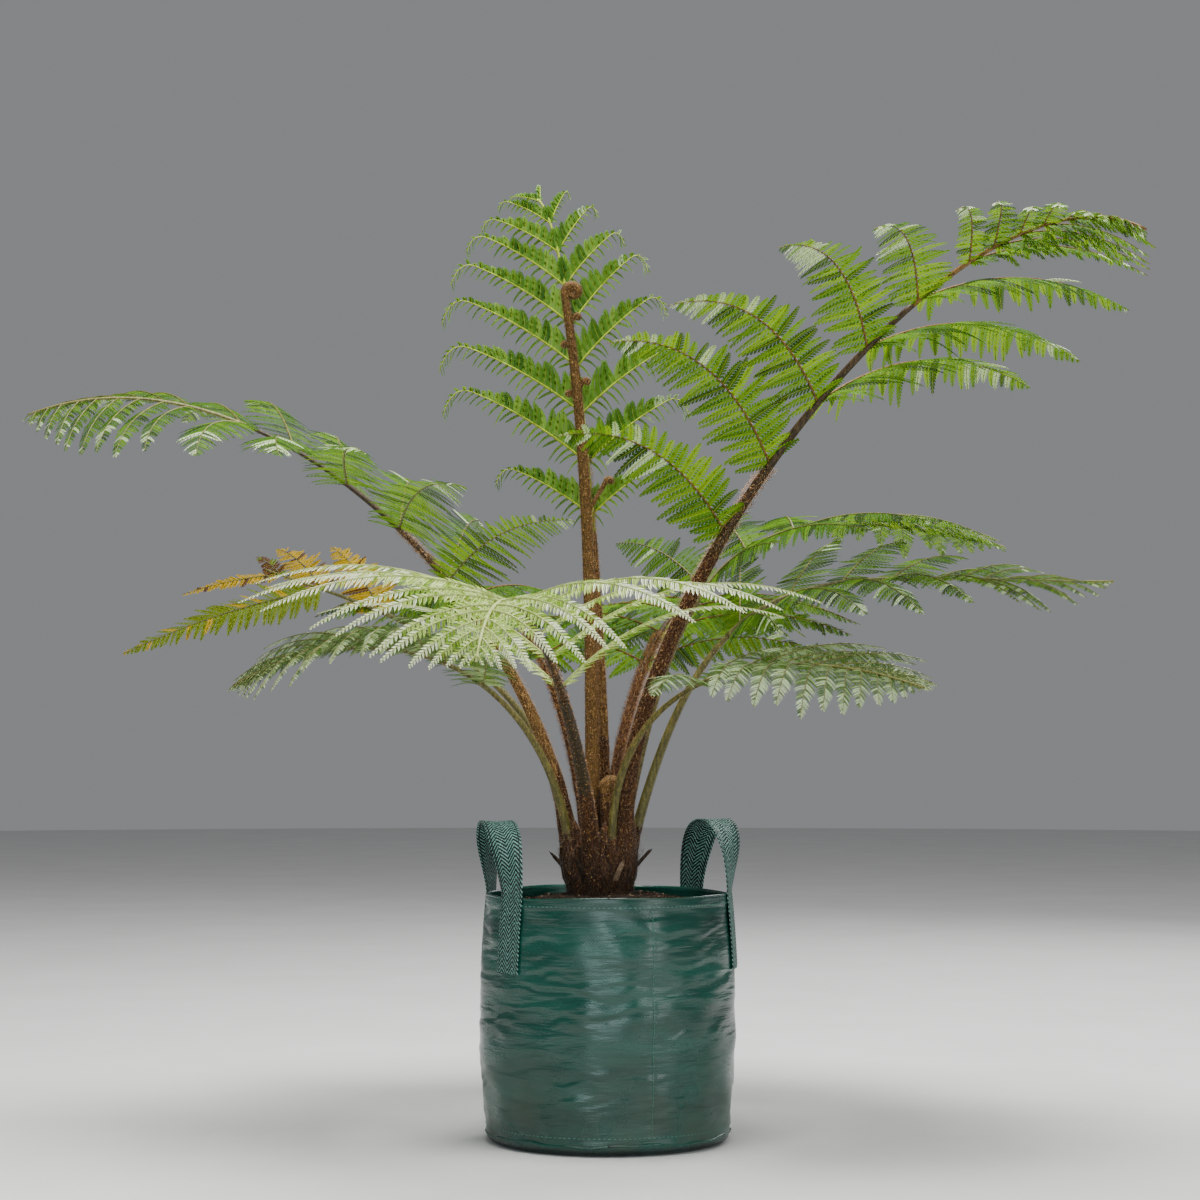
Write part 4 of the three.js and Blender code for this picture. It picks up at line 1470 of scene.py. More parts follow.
    def build_stubs(self, finishes: Finishes, chance: np.random.Generator) -> None:
        """Builds the dry, splintered stubs of old stipes.

        Args:
            finishes: The part's materials by name.
            chance: The trunk's own run of chance.
        """
        for number, (angle, height) in enumerate(self.stubs, 1):
            out = from_front(angle)
            tilt = math.radians(self.stub_tilt)
            run = out * math.sin(tilt) + UP * math.cos(tilt)
            side = np.cross(UP, out)
            root = CROWN + out * self.stub_root + UP * height
            share = np.linspace(0, 1, 16)
            turn = np.linspace(0, 2 * math.pi, 19)
            other = np.cross(run, side)
            rings = 0.62 * side * np.cos(turn)[:, None] + 0.4 * other * np.sin(turn)[:, None]
            ragged = 1 + 0.12 * np.sin(3 * turn + number) + 0.08 * np.sin(7 * turn + 2 * number)
            thick = self.stub_radius * mix(1.05, 0.7, share)[:, None] * ragged
            thick[-1] *= 0.35
            splinter = chance.uniform(-14, 3, 19)
            splinter[-1] = splinter[0]
            length = self.stub_length * share[:, None] + (share > 0.86)[:, None] * splinter
            grid = root + run * length[:, :, None] + rings * thick[:, :, None]
            skin = Skin()
            add_grid(skin, grid)
            wood = pick(finishes, "pale_wood" if number == self.PALE_STUB else "dry_wood")
            skin.put(f"cut_stub_{number}", wood, "stub", (f"stub_{number}",))


@dataclass
class GrowBag:
    """The round woven bag: creased wall, welted base, folded hem and sewn seams."""

    height: float = 385.0
    rim: float = 190.0
    belly: float = 200.0
    belly_height: float = 190.0
    seam: float = 190.0
    seam_height: float = 22.0
    wall: float = 3.0
    underside: Pairs = (
        (0, 0), (60, 0), (120, 0), (160, 0.2), (178, 1.2), (184, 4), (188.5, 9), (191, 15),
    )
    inside_to: float = 345.0
    seams: tuple[float, ...] = (20.0, 158.0)
    long_creases: tuple[tuple[float, ...], ...] = (
        (-0.42, 249, 0.3, -36, 4.5, 6),
        (0.1, 214, 0.35, 10, 3.5, 7),
        (-0.7, 318, 0.25, 16, 3.5, 8),
        (0.55, 330, 0.3, -22, 4.0, 9),
        (2.6, 240, 0.4, 20, 4.0, 7),
        (-2.4, 190, 0.4, -18, 4.0, 7),
    )
    stitch: float = 4.6
    thread: float = 0.55
    columns: int = 270
    rows: int = 150
    seed: int = 41

    def __post_init__(self) -> None:
        """Draws the creases that the wall has."""
        chance = np.random.default_rng(self.seed)
        count = 210
        drawn = np.stack(
            [
                chance.uniform(-math.pi, math.pi, count),
                chance.uniform(30, 355, count),
                chance.uniform(0.1, 0.5, count),
                chance.normal(0, 11, count),
                chance.uniform(0.3, 2.2, count) * chance.choice((-1, 1), count),
                chance.uniform(4.0, 9.5, count),
            ],
            axis=1,
        )
        self.creases = np.concatenate([np.array(self.long_creases), drawn])
        self.phases = chance.uniform(0, 2 * math.pi, 12)

    def radius(self, height: Array) -> Array:
        """Works out the smooth wall's outer radius.

        Args:
            height: Heights above the ground.

        Returns:
            The radius at each.
        """
        low = height < self.belly_height
        span = np.where(low, self.belly_height - self.seam_height, self.height - self.belly_height)
        edge = np.where(low, self.seam, self.rim)
        share = np.abs(height - self.belly_height) / span
        return self.belly - (self.belly - edge) * share**2

    def creased(self, turn: Array, height: Array) -> Array:
        """Works out how far creases and folds push the wall out or in.

        Args:
            turn: Angles from the front towards +X.
            height: Heights of the same points.

        Returns:
            Millimetres outwards.
        """
        moved = 1.3 * np.sin(3 * turn + self.phases[0] + height / 150)
        moved += 0.9 * np.sin(5 * turn + self.phases[1] - height / 90)
        waves = np.sin(height / 21 + 1.4 * np.sin(2 * turn + self.phases[2]))
        moved += 0.8 * waves * (0.6 + 0.4 * np.sin(4 * turn))
        for pitch, deep, fold in ((13, 0.95, 5), (8, 0.4, 9)):
            wander = 2.2 * np.sin((fold // 2) * turn + self.phases[fold])
            across = np.cos(fold * turn + height / 60 + self.phases[fold // 2])
            moved += deep * np.sin(height / pitch + wander) * across
        dents = np.sin(13 * turn + 2 * np.sin(height / 47 + self.phases[3]) + self.phases[4])
        moved += 1.3 * dents * np.sin(height / 26 + 1.5 * np.sin(4 * turn + self.phases[5]))
        for angle, level, reach, slope, depth, width in self.creases:
            away = apart(turn, angle)
            off = (height - level - slope * away - 5 * np.sin(3 * away / reach)) / width
            moved += depth * off * np.exp(-(off**2)) * np.exp(-((away / reach) ** 2))
        for angle in self.seams:
            away = apart(turn, math.radians(angle))
            moved -= 0.7 * np.exp(-((away * self.belly / 2.6) ** 2))
        calm = np.clip((height - self.seam_height) / 25, 0, 1)
        calm = calm * np.clip((self.height + 4 - height) / 22, 0.35, 1)
        return (moved - 0.6) * calm * (1 - 0.75 * Handle.cover(turn, height))

    def rim_height(self, turn: Array) -> Array:
        """Gives the slightly uneven height of the rim."""
        return self.height + 1.6 * np.sin(2 * turn + 0.7) + 0.9 * np.sin(5 * turn + 2.0) - 1.2

    def build(self, finishes: Finishes) -> None:
        """Builds the shell, the welt, the hem and the stitching.

        Args:
            finishes: The part's materials by name.
        """
        turn = np.linspace(0, 2 * math.pi, self.columns + 1)
        rows: list[Array] = []
        flat: list[Array] = []
        for radius, height in [*self.underside, (self.seam, self.seam_height)]:
            sway = 0.7 * np.sin(9 * turn + radius / 20) * min(1.0, max(0.0, (radius - 150) / 40))
            rows.append(np.stack([radius + sway, np.full_like(turn, height)], axis=1))
            flat.append(np.full_like(turn, height - (self.seam - radius)))
        for share in np.linspace(0, 1, self.rows)[1:]:
            height = mix(self.seam_height, self.rim_height(turn), share)
            hem = 0.7 if share > 0.955 else 0.0
            reach = self.radius(height) + self.creased(turn, height)
            rows.append(np.stack([reach + hem, height], axis=1))
            flat.append(height)
        top = rows[-1]
        for step, drop in ((0.8, -0.6), (self.wall, -0.4)):
            rows.append(top - [step, drop])
            flat.append(top[:, 1] + step)
        for height in np.linspace(self.height - 4, self.inside_to, 14):
            level = np.full_like(turn, height)
            reach = self.radius(level) + self.creased(turn, level)
            rows.append(np.stack([reach - self.wall, level], axis=1))
            flat.append(2 * top[:, 1] - level)
        net = np.array(rows)
        net[:, -1] = net[:, 0]
        round_way = np.broadcast_to(turn * self.belly * MM, net.shape[:2])
        layout = np.stack([round_way, np.array(flat) * MM], axis=-1)
        skin = Skin()
        add_grid(skin, around(turn, net[:, :, 0], net[:, :, 1]), layout)
        skin.put("bag_wall", pick(finishes, "woven_green_film"), "bag_weave", ("bag",))
        self.build_welt(finishes)
        self.build_stitches(finishes)

    def ring(self, height: Array, out: float, turn: Array) -> Array:
        """Gives points round the wall at a height, a little way out from it."""
        return around(turn, self.radius(height) + self.creased(turn, height) + out, height)

    def build_welt(self, finishes: Finishes) -> None:
        """Builds the sewn welt round the base and the rolled edge of the hem.

        Args:
            finishes: The part's materials by name.
        """
        skin = Skin()
        turn = np.linspace(0, 2 * math.pi, 361)
        height = 16 + 1.6 * np.sin(6 * turn) + 0.9 * np.sin(17 * turn + 1)
        add_tube(skin, self.ring(height, 1.2, turn), np.full(361, 1.9), 8, UP)
        add_tube(skin, self.ring(self.rim_height(turn) - 1.0, 0.4, turn), np.full(361, 1.5), 8, UP)
        skin.put("bag_welt", pick(finishes, "woven_green_film"), "bag_weave")

    def build_stitches(self, finishes: Finishes) -> None:
        """Sews the hem, the welt and the upright seams with short stitches.

        Args:
            finishes: The part's materials by name.
        """
        skin, stitch = Skin(), np.linspace(0, self.stitch, 4)
        for level, out in ((self.height - 14, 1.0), (self.seam_height + 6, 0.4)):
            for start in np.arange(0, 2 * math.pi, 7.5 / self.rim):
                line = self.ring(np.full(4, level), out, start + stitch / self.rim)
                add_stitch(skin, line, self.thread, UP)
        for angle in self.seams:
            for low in np.arange(self.seam_height + 10, self.height - 18, 6.0):
                line = self.ring(low + stitch, 0.9, np.full(4, math.radians(angle)))
                add_stitch(skin, line, self.thread, from_front(angle))
        skin.put("bag_stitches", pick(finishes, "seam_thread"), "bag_weave")


@dataclass
class Handle:
    """One webbing handle: two sewn tails and a loop that turns over at its top."""

    name: str
    angle: float
    bag: GrowBag
    width: float = 50.0
    thickness: float = 2.5
    span: float = 175.0
    rise: float = 110.0
    lean: float = 8.0
    tail: float = 117.0
    gap: float = 0.3
    fullness: float = 0.8
    steps: int = 72

    ANGLES = (-77.5, 107.5)
    TAIL_TURN = 27.4
    TAIL_STEPS = 26
    WALL_REACH = 195.0
    HELD_REACH = 44.0
    HELD_FADE = 14.0
    HELD_FOOT = 242.0
    FOOT_FADE = 16.0
    THREAD = 0.6

    @classmethod
    def cover(cls, turn: Array, height: Array) -> Array:
        """Works out how far the sewn tails hold the wall flat.

        Args:
            turn: Angles from the front towards +X.
            height: Heights of the same points.

        Returns:
            From 0, free, to 1, flat.
        """
        held = np.zeros(np.broadcast(turn, height).shape)
        for angle in cls.ANGLES:
            for side in (-cls.TAIL_TURN, cls.TAIL_TURN):
                at = math.radians(angle + side)
                away = np.abs(apart(turn, at)) * cls.WALL_REACH
                near = np.clip((cls.HELD_REACH - away) / cls.HELD_FADE, 0, 1)
                held = np.maximum(held, near)
        return held * np.clip((height - cls.HELD_FOOT) / cls.FOOT_FADE, 0, 1)

    def stations(self) -> tuple[Array, Array]:
        """Works out the strap's middle line and the way its width lies by the rule of the solids.

        Returns:
            Places, and width directions, along the strap.
        """
        out = from_front(self.angle)
        along = np.cross(UP, out)
        stand = self.gap + self.thickness / 2
        leg = math.asin(self.span / 2 / self.bag.rim)
        places, turns = [], []

        def sewn(side: int, height: float) -> Array:
            """Gives a place on one of the sewn tails."""
            reach = float(self.bag.radius(np.array([height]))[0]) + stand
            return reach * (math.cos(leg) * out + side * math.sin(leg) * along) + UP * height

        heights = self.bag.height - self.tail * np.linspace(1, 0, self.TAIL_STEPS)
        for height in heights:
            places.append(sewn(-1, height))
            turns.append(leg)
        feet = sewn(-1, self.bag.height), sewn(1, self.bag.height)
        for share in np.linspace(0, 1, self.steps + 1)[1:-1]:
            swing = math.pi * share
            place = mix(feet[0], feet[1], (1 - math.cos(swing)) / 2)
            place = place + UP * self.rise * math.sin(swing) ** self.fullness
            places.append(place + out * self.lean * math.sin(swing))
            turns.append(mix(leg, math.pi - leg, share))
        for height in heights[::-1]:
            places.append(sewn(1, height))
            turns.append(math.pi - leg)
        turn = np.array(turns)[:, None]
        return np.array(places), np.cos(turn) * along + np.sin(turn) * out

    def build(self, finishes: Finishes) -> None:
        """Builds the strap and its stitching.

        Args:
            finishes: The part's materials by name.
        """
        places, widths = self.stations()
        run = unit(np.gradient(places, axis=0))
        width = square_to(widths, run)
        depth = np.cross(run, width)
        half, thick = self.width / 2, self.thickness / 2
        lift = np.linspace(-1, 1, 13)
        across = np.concatenate([lift * half, lift[::-1] * half, [-half]])
        puff = thick * (1 - 0.45 * np.abs(lift) ** 8)
        height = np.concatenate([puff, -puff[::-1], [puff[0]]])
        cupped = 1.6 * (across / half) ** 2 * np.ones((len(places), 1))
        loop, tail = np.zeros(len(places)), self.TAIL_STEPS
        loop[tail:-tail] = np.sin(np.linspace(0, math.pi, len(places) - 2 * tail))
        height = height[None] - cupped * loop[:, None]
        grid = places[:, None] + width[:, None] * across[None, :, None]
        grid = grid + depth[:, None] * height[:, :, None]
        flat = [(across[None] + half) * MM, distances(places)[:, None] * MM]
        layout = np.stack(np.broadcast_arrays(*flat), axis=-1)
        skin = Skin()
        add_grid(skin, grid, layout, flipped=True)
        ends = np.arange(len(across) - 1)
        skin.add(grid[0, :-1], ends[None, :], 0, layout[0, :-1])
        skin.add(grid[-1, :-1], ends[None, ::-1], 0, layout[-1, :-1])
        skin.put(self.name + "_strap", pick(finishes, "green_webbing"), "webbing", (self.name,))
        self.build_stitches(finishes, places, width, depth)

    def build_stitches(self, finishes: Finishes, places: Array, width: Array, depth: Array) -> None:
        """Sews each tail down with a box of stitches.

        Args:
            finishes: The part's materials by name.
            places: The strap's middle line.
            width: Directions across the strap.
            depth: Directions out of its face.
        """
        skin = Skin()
        aside, out, last = self.width / 2 - 4, self.thickness / 2 + 0.1, self.TAIL_STEPS - 2
        for first in (0, len(places) - self.TAIL_STEPS):
            tail = slice(first, first + self.TAIL_STEPS)
            line, wide, deep = places[tail], width[tail], depth[tail]
            outward = deep * np.sign(np.sum(deep[0] * (line[0] * [1, 1, 0])))
            for edge in (-aside, aside):
                for i in range(1, last + 1):
                    spots = mix(line[i], line[i + 1], np.linspace(0.1, 0.75, 4)[:, None])
                    spots = spots + wide[i] * edge + outward[i] * out
                    add_stitch(skin, spots, self.THREAD, outward[i])
            for i in (1, last):
                for at in np.arange(-aside, aside - 3, 5.2):
                    spots = line[i] + wide[i] * (at + np.linspace(0, 3.6, 4))[:, None]
                    add_stitch(skin, spots + outward[i] * out, self.THREAD, outward[i])
        skin.put(self.name + "_stitches", pick(finishes, "webbing_thread"), "webbing")


@dataclass
class PottingMix:
    """The mound of potting mix with bark chips on it."""

    bag: GrowBag
    edge_height: float = 362.0
    crown_height: float = 386.0
    chip: Triple = (7.0, 3.4, 2.0)
    chips: int = 1500
    seed: int = 77

    def height(self, reach: Array, turn: Array) -> Array:
        """Works out the mound's height.

        Args:
            reach: Distances from the bag's axis.
            turn: Angles from the front towards +X.

        Returns:
            The height at each.
        """
        share = np.clip(reach / 187, 0, 1)
        lumps = 1.6 * np.sin(reach / 11 + 3 * turn) * np.sin(7 * turn + reach / 17)
        lumps = lumps + 1.1 * np.sin(13 * turn - reach / 7)
        return mix(self.crown_height, self.edge_height, share**2) + lumps - 2.5

    def build(self, finishes: Finishes) -> None:
        """Builds the mound and what lies on it.

        Args:
            finishes: The part's materials by name.
        """
        turn = np.linspace(0, 2 * math.pi, 181)
        level = np.full_like(turn, self.edge_height)
        edge = self.bag.radius(level) + self.bag.creased(turn, level) - self.bag.wall + 1.2
        reach = edge * np.linspace(0.02, 1, 60)[:, None]
        grid = around(turn, reach, self.height(reach, turn))
        grid[:, -1] = grid[:, 0]
        skin = Skin()
        add_grid(skin, grid, flipped=True)
        skin.put("mix_surface", pick(finishes, "potting_mix"), "potting_mix", ("soil",))
        self.scatter(finishes)

    def scatter(self, finishes: Finishes) -> None:
        """Scatters bark chips over the mound.

        Args:
            finishes: The part's materials by name.
        """
        chance = np.random.default_rng(self.seed)
        count = self.chips
        reach = 183 * np.sqrt(chance.uniform(0.04, 1, count))
        turn = chance.uniform(0, 2 * math.pi, count)
        place = around(turn, reach, self.height(reach, turn) + 0.8)
        ends = (-1.0, 1.0)
        corner = np.array([[x, y, z] for x in ends for y in ends for z in ends])
        size = chance.uniform(0.35, 1, (count, 1, 3)) * np.array(self.chip)
        size = size * chance.uniform(0.5, 1.1, (count, 1, 1))
        local = corner[None] * size * chance.uniform(0.6, 1.1, (count, 8, 3)) / 2
        ways = unit(chance.normal(0, 1, (count, 3)) * [1, 1, 0.35])
        sides = square_to(chance.normal(0, 1, (count, 3)), ways)
        ups = np.cross(ways, sides)
        points = local[:, :, :1] * ways[:, None] + local[:, :, 1:2] * sides[:, None]
        points = points + local[:, :, 2:] * ups[:, None] + place[:, None]
        faces = np.array(
            [[0, 1, 3, 2], [4, 6, 7, 5], [0, 4, 5, 1], [2, 3, 7, 6], [0, 2, 6, 4], [1, 5, 7, 3]]
        )
        skin = Skin()
        tints = np.repeat(chance.choice(3, count, p=[0.55, 0.35, 0.1]), 6)
        skin.add_copies(points, faces, tints)
        chips = pick(finishes, "dark_chip", "brown_chip", "pale_wood")
        skin.put("bark_chips", chips, "potting_mix", smooth=False)


@dataclass(frozen=True)
class SoftPanel:
    """One soft square light.

    Attributes:
        name: Name of the light.
        place: Where it hangs, in metres.
        aim: The point that it faces.
        size: Length of its sides.
        power: Its strength in watts.
        tint: Its colour.
    """

    name: str
    place: Triple
    aim: Triple
    size: float
    power: float
    tint: Colour = (1.0, 1.0, 1.0)

    def hang(self) -> None:
        """Hangs the light so that it faces its point."""
        lamp = bpy.data.lights.new(self.name, "AREA")
        lamp.shape, lamp.size, lamp.energy, lamp.color = "SQUARE", self.size, self.power, self.tint
        hung = bpy.data.objects.new(self.name, lamp)
        back = unit(np.array(self.place) - np.array(self.aim))
        side = unit(np.cross([0, 1, 0] if abs(back[2]) > 0.9 else UP, back))
        turned = np.eye(4)
        turned[:3] = np.stack([side, np.cross(back, side), back, self.place], axis=1)
        hung.matrix_world = Matrix(turned.tolist())
        bpy.context.scene.collection.objects.link(hung)


@dataclass
class Studio:
    """A plain pale floor, soft lights and the camera at the photo's angle."""

    eye: Triple = (-0.0126, -4.2, 0.63)
    upward: float = math.degrees(math.atan(135 / 2667))
    lens: float = 80.0
    floor: float = 14.0
    sky: Colour = (0.93, 0.96, 1.0)
    brightness: float = 0.25
    panels: tuple[SoftPanel, ...] = (
        SoftPanel("sky_panel", (0.1, -0.5, 4.4), (0.0, 0.0, 0.8), 2.4, 420.0),
        SoftPanel("front_panel", (-0.7, -5.4, 1.6), (0.0, 0.0, 0.6), 2.2, 82.0, (0.8, 0.96, 1.0)),
        SoftPanel("side_panel", (3.4, -3.6, 1.45), (0.0, 0.0, 0.6), 1.8, 48.0),
        SoftPanel("back_panel", (2.2, 3.4, 2.8), (0.0, 0.0, 1.0), 2.0, 80.0),
    )

    def build(self, finishes: Finishes) -> None:
        """Builds the floor, the lights, the world and the camera.

        Args:
            finishes: The part's materials by name.
        """
        turn = np.linspace(0, 2 * math.pi, 97)[:-1]
        ground = np.stack([np.cos(turn), np.sin(turn), np.zeros(96)], axis=1) * self.floor
        mesh = bpy.data.meshes.new("pale_floor")
        mesh.from_pydata(ground.tolist(), [], [list(range(96))])
        mesh.materials.append(finishes["pale_floor"])
        floor = bpy.data.objects.new("pale_floor", mesh)
        bpy.context.scene.collection.objects.link(floor)
        world = bpy.data.worlds.new("soft_sky")
        bpy.context.scene.world = world
        world.use_nodes = True
        sky = world.node_tree.nodes["Background"]
        sky.inputs["Color"].default_value = (*self.sky, 1.0)
        sky.inputs["Strength"].default_value = self.brightness
        for panel in self.panels:
            panel.hang()
        lens = bpy.data.cameras.new("photo_camera")
        lens.lens, lens.sensor_width = self.lens, 36.0
        camera = bpy.data.objects.new("photo_camera", lens)
        camera.location = self.eye
        camera.rotation_euler = (math.radians(90 + self.upward), 0.0, 0.0)
        bpy.context.scene.collection.objects.link(camera)
        bpy.context.scene.camera = camera


# Pinnae that the solids keep shorter so that they clear their neighbours: frond, pair and side.
HELD_BACK = {
    ("low_left", 0, 1): 0.7,
    ("low_left", 1, 1): 0.85,
    ("back_left", 0, 1): 0.55,
    ("back_left", 1, -1): 0.4,
    ("back_left", 2, -1): 0.55,
}

# Pinnae that have turned colour, by the number of their leaf colour: frond, pair and side.
TURNED = {
    ("yellow", 0, 1): 0,
    ("yellow", 0, -1): 1,
    ("yellow", 1, 1): 0,
    ("yellow", 1, -1): 1,
    ("yellow", 2, 1): 1,
    ("yellow", 2, -1): 2,
}

# Coats by kind of stipe, and by frond where one differs from its kind.
COATS = {
    "hairy_stipe": Coat("furred_bark", 10.0, 12000, (0.4, 0.5, 0.1)),
    "smooth_stipe": Coat("smooth_bark", 3.6, 2600, (0.5, 0.4, 0.1)),
    "upper_left": Coat("golden_bark", 8.5, 11000, (0.72, 0.25, 0.03)),
    "front": Coat("olive_bark", 4.5, 7000, (0.15, 0.35, 0.5)),
    # The young stipe's golden coat is partly its own colour and partly painted light on fur the
    # crozier shades.
    "young": Coat("golden_bark", 8.0, 12000, (0.6, 0.36, 0.04)),
}

# Each set of leaf colours ends with the painted sheen of leaflets near the tips, and its midribs.
GREENS = ("mid_green", "bright_green", "deep_green", "painted_sheen_green", "green_midrib")
PALES = ("pale_lime", "soft_lime", "lime_green", "painted_sheen_lime", "pale_midrib")
GREYS = ("grey_green", "sage_green", "mid_green", "painted_sheen_green", "pale_midrib")
FRESH = ("fresh_green", "new_green", "shade_green", "painted_sheen_fresh", "fresh_midrib")
FADING = ("fading_green", "yellow_leaf", "brown_leaf", "yellow_leaf", "yellow_midrib")
# Finish of the rachis and of the pinnae's ribs.
BROWN = ("brown_rachis", "golden_rib")
OLIVE = ("olive_rachis", "olive_rib")
PALE = ("brown_rachis", "pale_rib")
LIME = ("lime_rib", "lime_rib")

# The numbers of a frond stand in the order of its attributes. The first line of each has its
# heading and foot, the second its run from rise to sweep, and the third its thickness and pinnae.
HABITS = (
    Habit(
        "upper_right", -30, (39.5, -20.5, 440),
        390, -6, 915, 1335, 330, 32, -60,
        13, 9, 0.36, 10, 1.2, 0.15,
        Flank(
            460, 53, (12, 0), 0.85, start=0.2, hang=0.3, painted_sheen=0.15,
            breadth=1.2, bank=30, dealt=(0.5, 0.42, 0.08),
        ),
        Flank(420, 56, (42, 10), 0.65, hook=0.35, painted_sheen=0.5, breadth=0.82),
        "leaf_green", Stipe.FURRED, GREENS, BROWN, 13.5, 0.58, ruffle=0.13,
    ),
    Habit(
        "front", -102, (-14, -42, 440),
        195, 4, 770, 725, 285, 60, 0,
        10.5, 7, 0.36, 10, 1.2, 0.15,
        Flank(440, 62, (36, 8), 0.95, hang=0.12, painted_sheen=1, breadth=0.46, bank=28),
        Flank(450, 68, (40, 10), 0.92, hang=0.12, painted_sheen=1, breadth=0.46, bank=28),
        "leaf_pale", Stipe.FURRED, PALES, PALE, 7.4, 0.35, Leaflet.TOOTH, ruffle=0.05,
    ),
    Habit(
        "upper_left", 180, (-48, 8, 440),
        365, 3, 895, 1130, 395, 22, 50,
        11.5, 6.2, 0.36, 10, 0.95, 0.15,
        Flank(375, 77, (46, -46), 0.35, hook=0.4, painted_sheen=0.3, bank=22),
        Flank(400, 66, (32, 18), 0.75, painted_sheen=0.4),
        "leaf_green", Stipe.FURRED, GREENS, ("brown_rachis", "olive_rib"), 11.0, 0.43, ruffle=0.07,
    ),
    Habit(
        "right", -5, (46, 10, 440),
        540, 14, 800, 868, 450, 0, 0,
        9, 5, 0.38, 10, 1.2, 0.15,
        Flank(350, 70, (33, 12), 0.4, hang=0.1, painted_sheen=0.1, breadth=0.72),
        Flank(340, 69, (4, 0), 0.55, hang=0.25, painted_sheen=0.25, breadth=0.7),
        "leaf_green", Stipe.SMOOTH, GREENS, OLIVE, 12.0, 0.46, close_from=4, ruffle=0.06,
    ),
    Habit(
        "young", 100, (8, 10, 445),
        600, 3, 130, 1490, 120, 70, 105,
        10, 5.5, 0.46, 10, 1, 0.5,
        Flank(285, 47, (5, 0), 0.45, painted_sheen=0, breadth=0.8),
        Flank(235, 47, (5, 0), 0.45, painted_sheen=0.3),
        "leaf_fresh", Stipe.FURRED, FRESH, LIME, form=Leaflet.PLATE, close_from=10,
    ),
    Habit(
        "back_right", 25, (30, 36, 440),
        490, 12, 755, 950, 540, 10, 0,
        9.5, 5.5, 0.4, 9, 1.2, 0.15,
        Flank(330, 66, (24, 8), 0.6),
        Flank(300, 66, (20, 4), 0.6),
        "leaf_green", Stipe.SMOOTH, GREENS, OLIVE, 12.0, 0.52, close_from=3, ruffle=0.1,
    ),
    Habit(
        "low_right", -40, (19, -42, 440),
        312, -3, 605, 697, 250, 18, 0,
        7, 3.8, 0.42, 8, 1.2, 0.15,
        Flank(235, 66, (30, 10), 0.6, hang=0.15, painted_sheen=0.7, breadth=0.95, bank=20),
        Flank(250, 66, (15, -8), 0.8, painted_sheen=0.7, breadth=0.95, bank=20),
        "leaf_pale", Stipe.SMOOTH, GREYS, OLIVE, 6.6, 0.38, Leaflet.TOOTH, 1, 0.1,
    ),
    Habit(
        "low_left", -165, (-45, -22, 440),
        305, 7, 577, 705, 268, 30, 0,
        8, 4.5, 0.4, 9, 1.2, 0.15,
        Flank(320, 66, (35, 8), 1, hang=0.25, painted_sheen=0.6, breadth=1.15, bank=20),
        Flank(300, 66, (35, 10), 0.7, hang=0.25, painted_sheen=0.6, breadth=1.15, bank=20),
        "leaf_pale", Stipe.SMOOTH, GREYS, OLIVE, 6.6, 0.38, Leaflet.TOOTH, 1, 0.14,
    ),
    Habit(
        "yellow", 158, (-38, 34, 440),
        340, 7, 600, 905, 190, -20, 0,
        7.5, 4.5, 0.66, 3, 0.8, 0.15,
        Flank(415, 50, (-36, -36), 0.3, start=0.3, hang=0.06, painted_sheen=0, breadth=0.95),
        Flank(200, 38, (45, 45), 0.5, hang=0.1, painted_sheen=0, breadth=1.1),
        "leaf_yellow", Stipe.SMOOTH, FADING, OLIVE, 9.0, 0.62,
    ),
    Habit(
        "back", 68, (8, 50, 440),
        330, 14, 690, 820, 330, 26, 0,
        10, 6, 0.38, 9, 1.2, 0.15,
        Flank(330, 66, (18, 0), 0.8),
        Flank(330, 66, (18, 0), 0.8),
        "leaf_green", Stipe.FURRED, GREENS, BROWN, 13.0, 0.6,
    ),
    Habit(
        "back_left", 118, (-16, 50, 440),
        330, 13, 700, 840, 340, 26, 0,
        10, 6, 0.38, 9, 1.2, 0.15,
        Flank(330, 66, (18, 0), 0.8),
        Flank(330, 66, (18, 0), 0.8),
        "leaf_green", Stipe.FURRED, GREENS, BROWN, 13.0, 0.6,
    ),
)

CROZIERS = (
    Crozier(
        "crozier_tall", (-12, -12, 445), 1330, -44, 12.5, 6.6, 13, 1.15,
        ((0.6, 1, 62, 6), (0.8, -1, 16, 6), (0.82, 1, 18, 6), (0.89, -1, 14, 6), (0.94, 1, 14, 6)),
    ),
    Crozier("crozier_low", (14, -25, 445), 549, -6, 9.5, 10, 12.5, 0.7, ()),
)


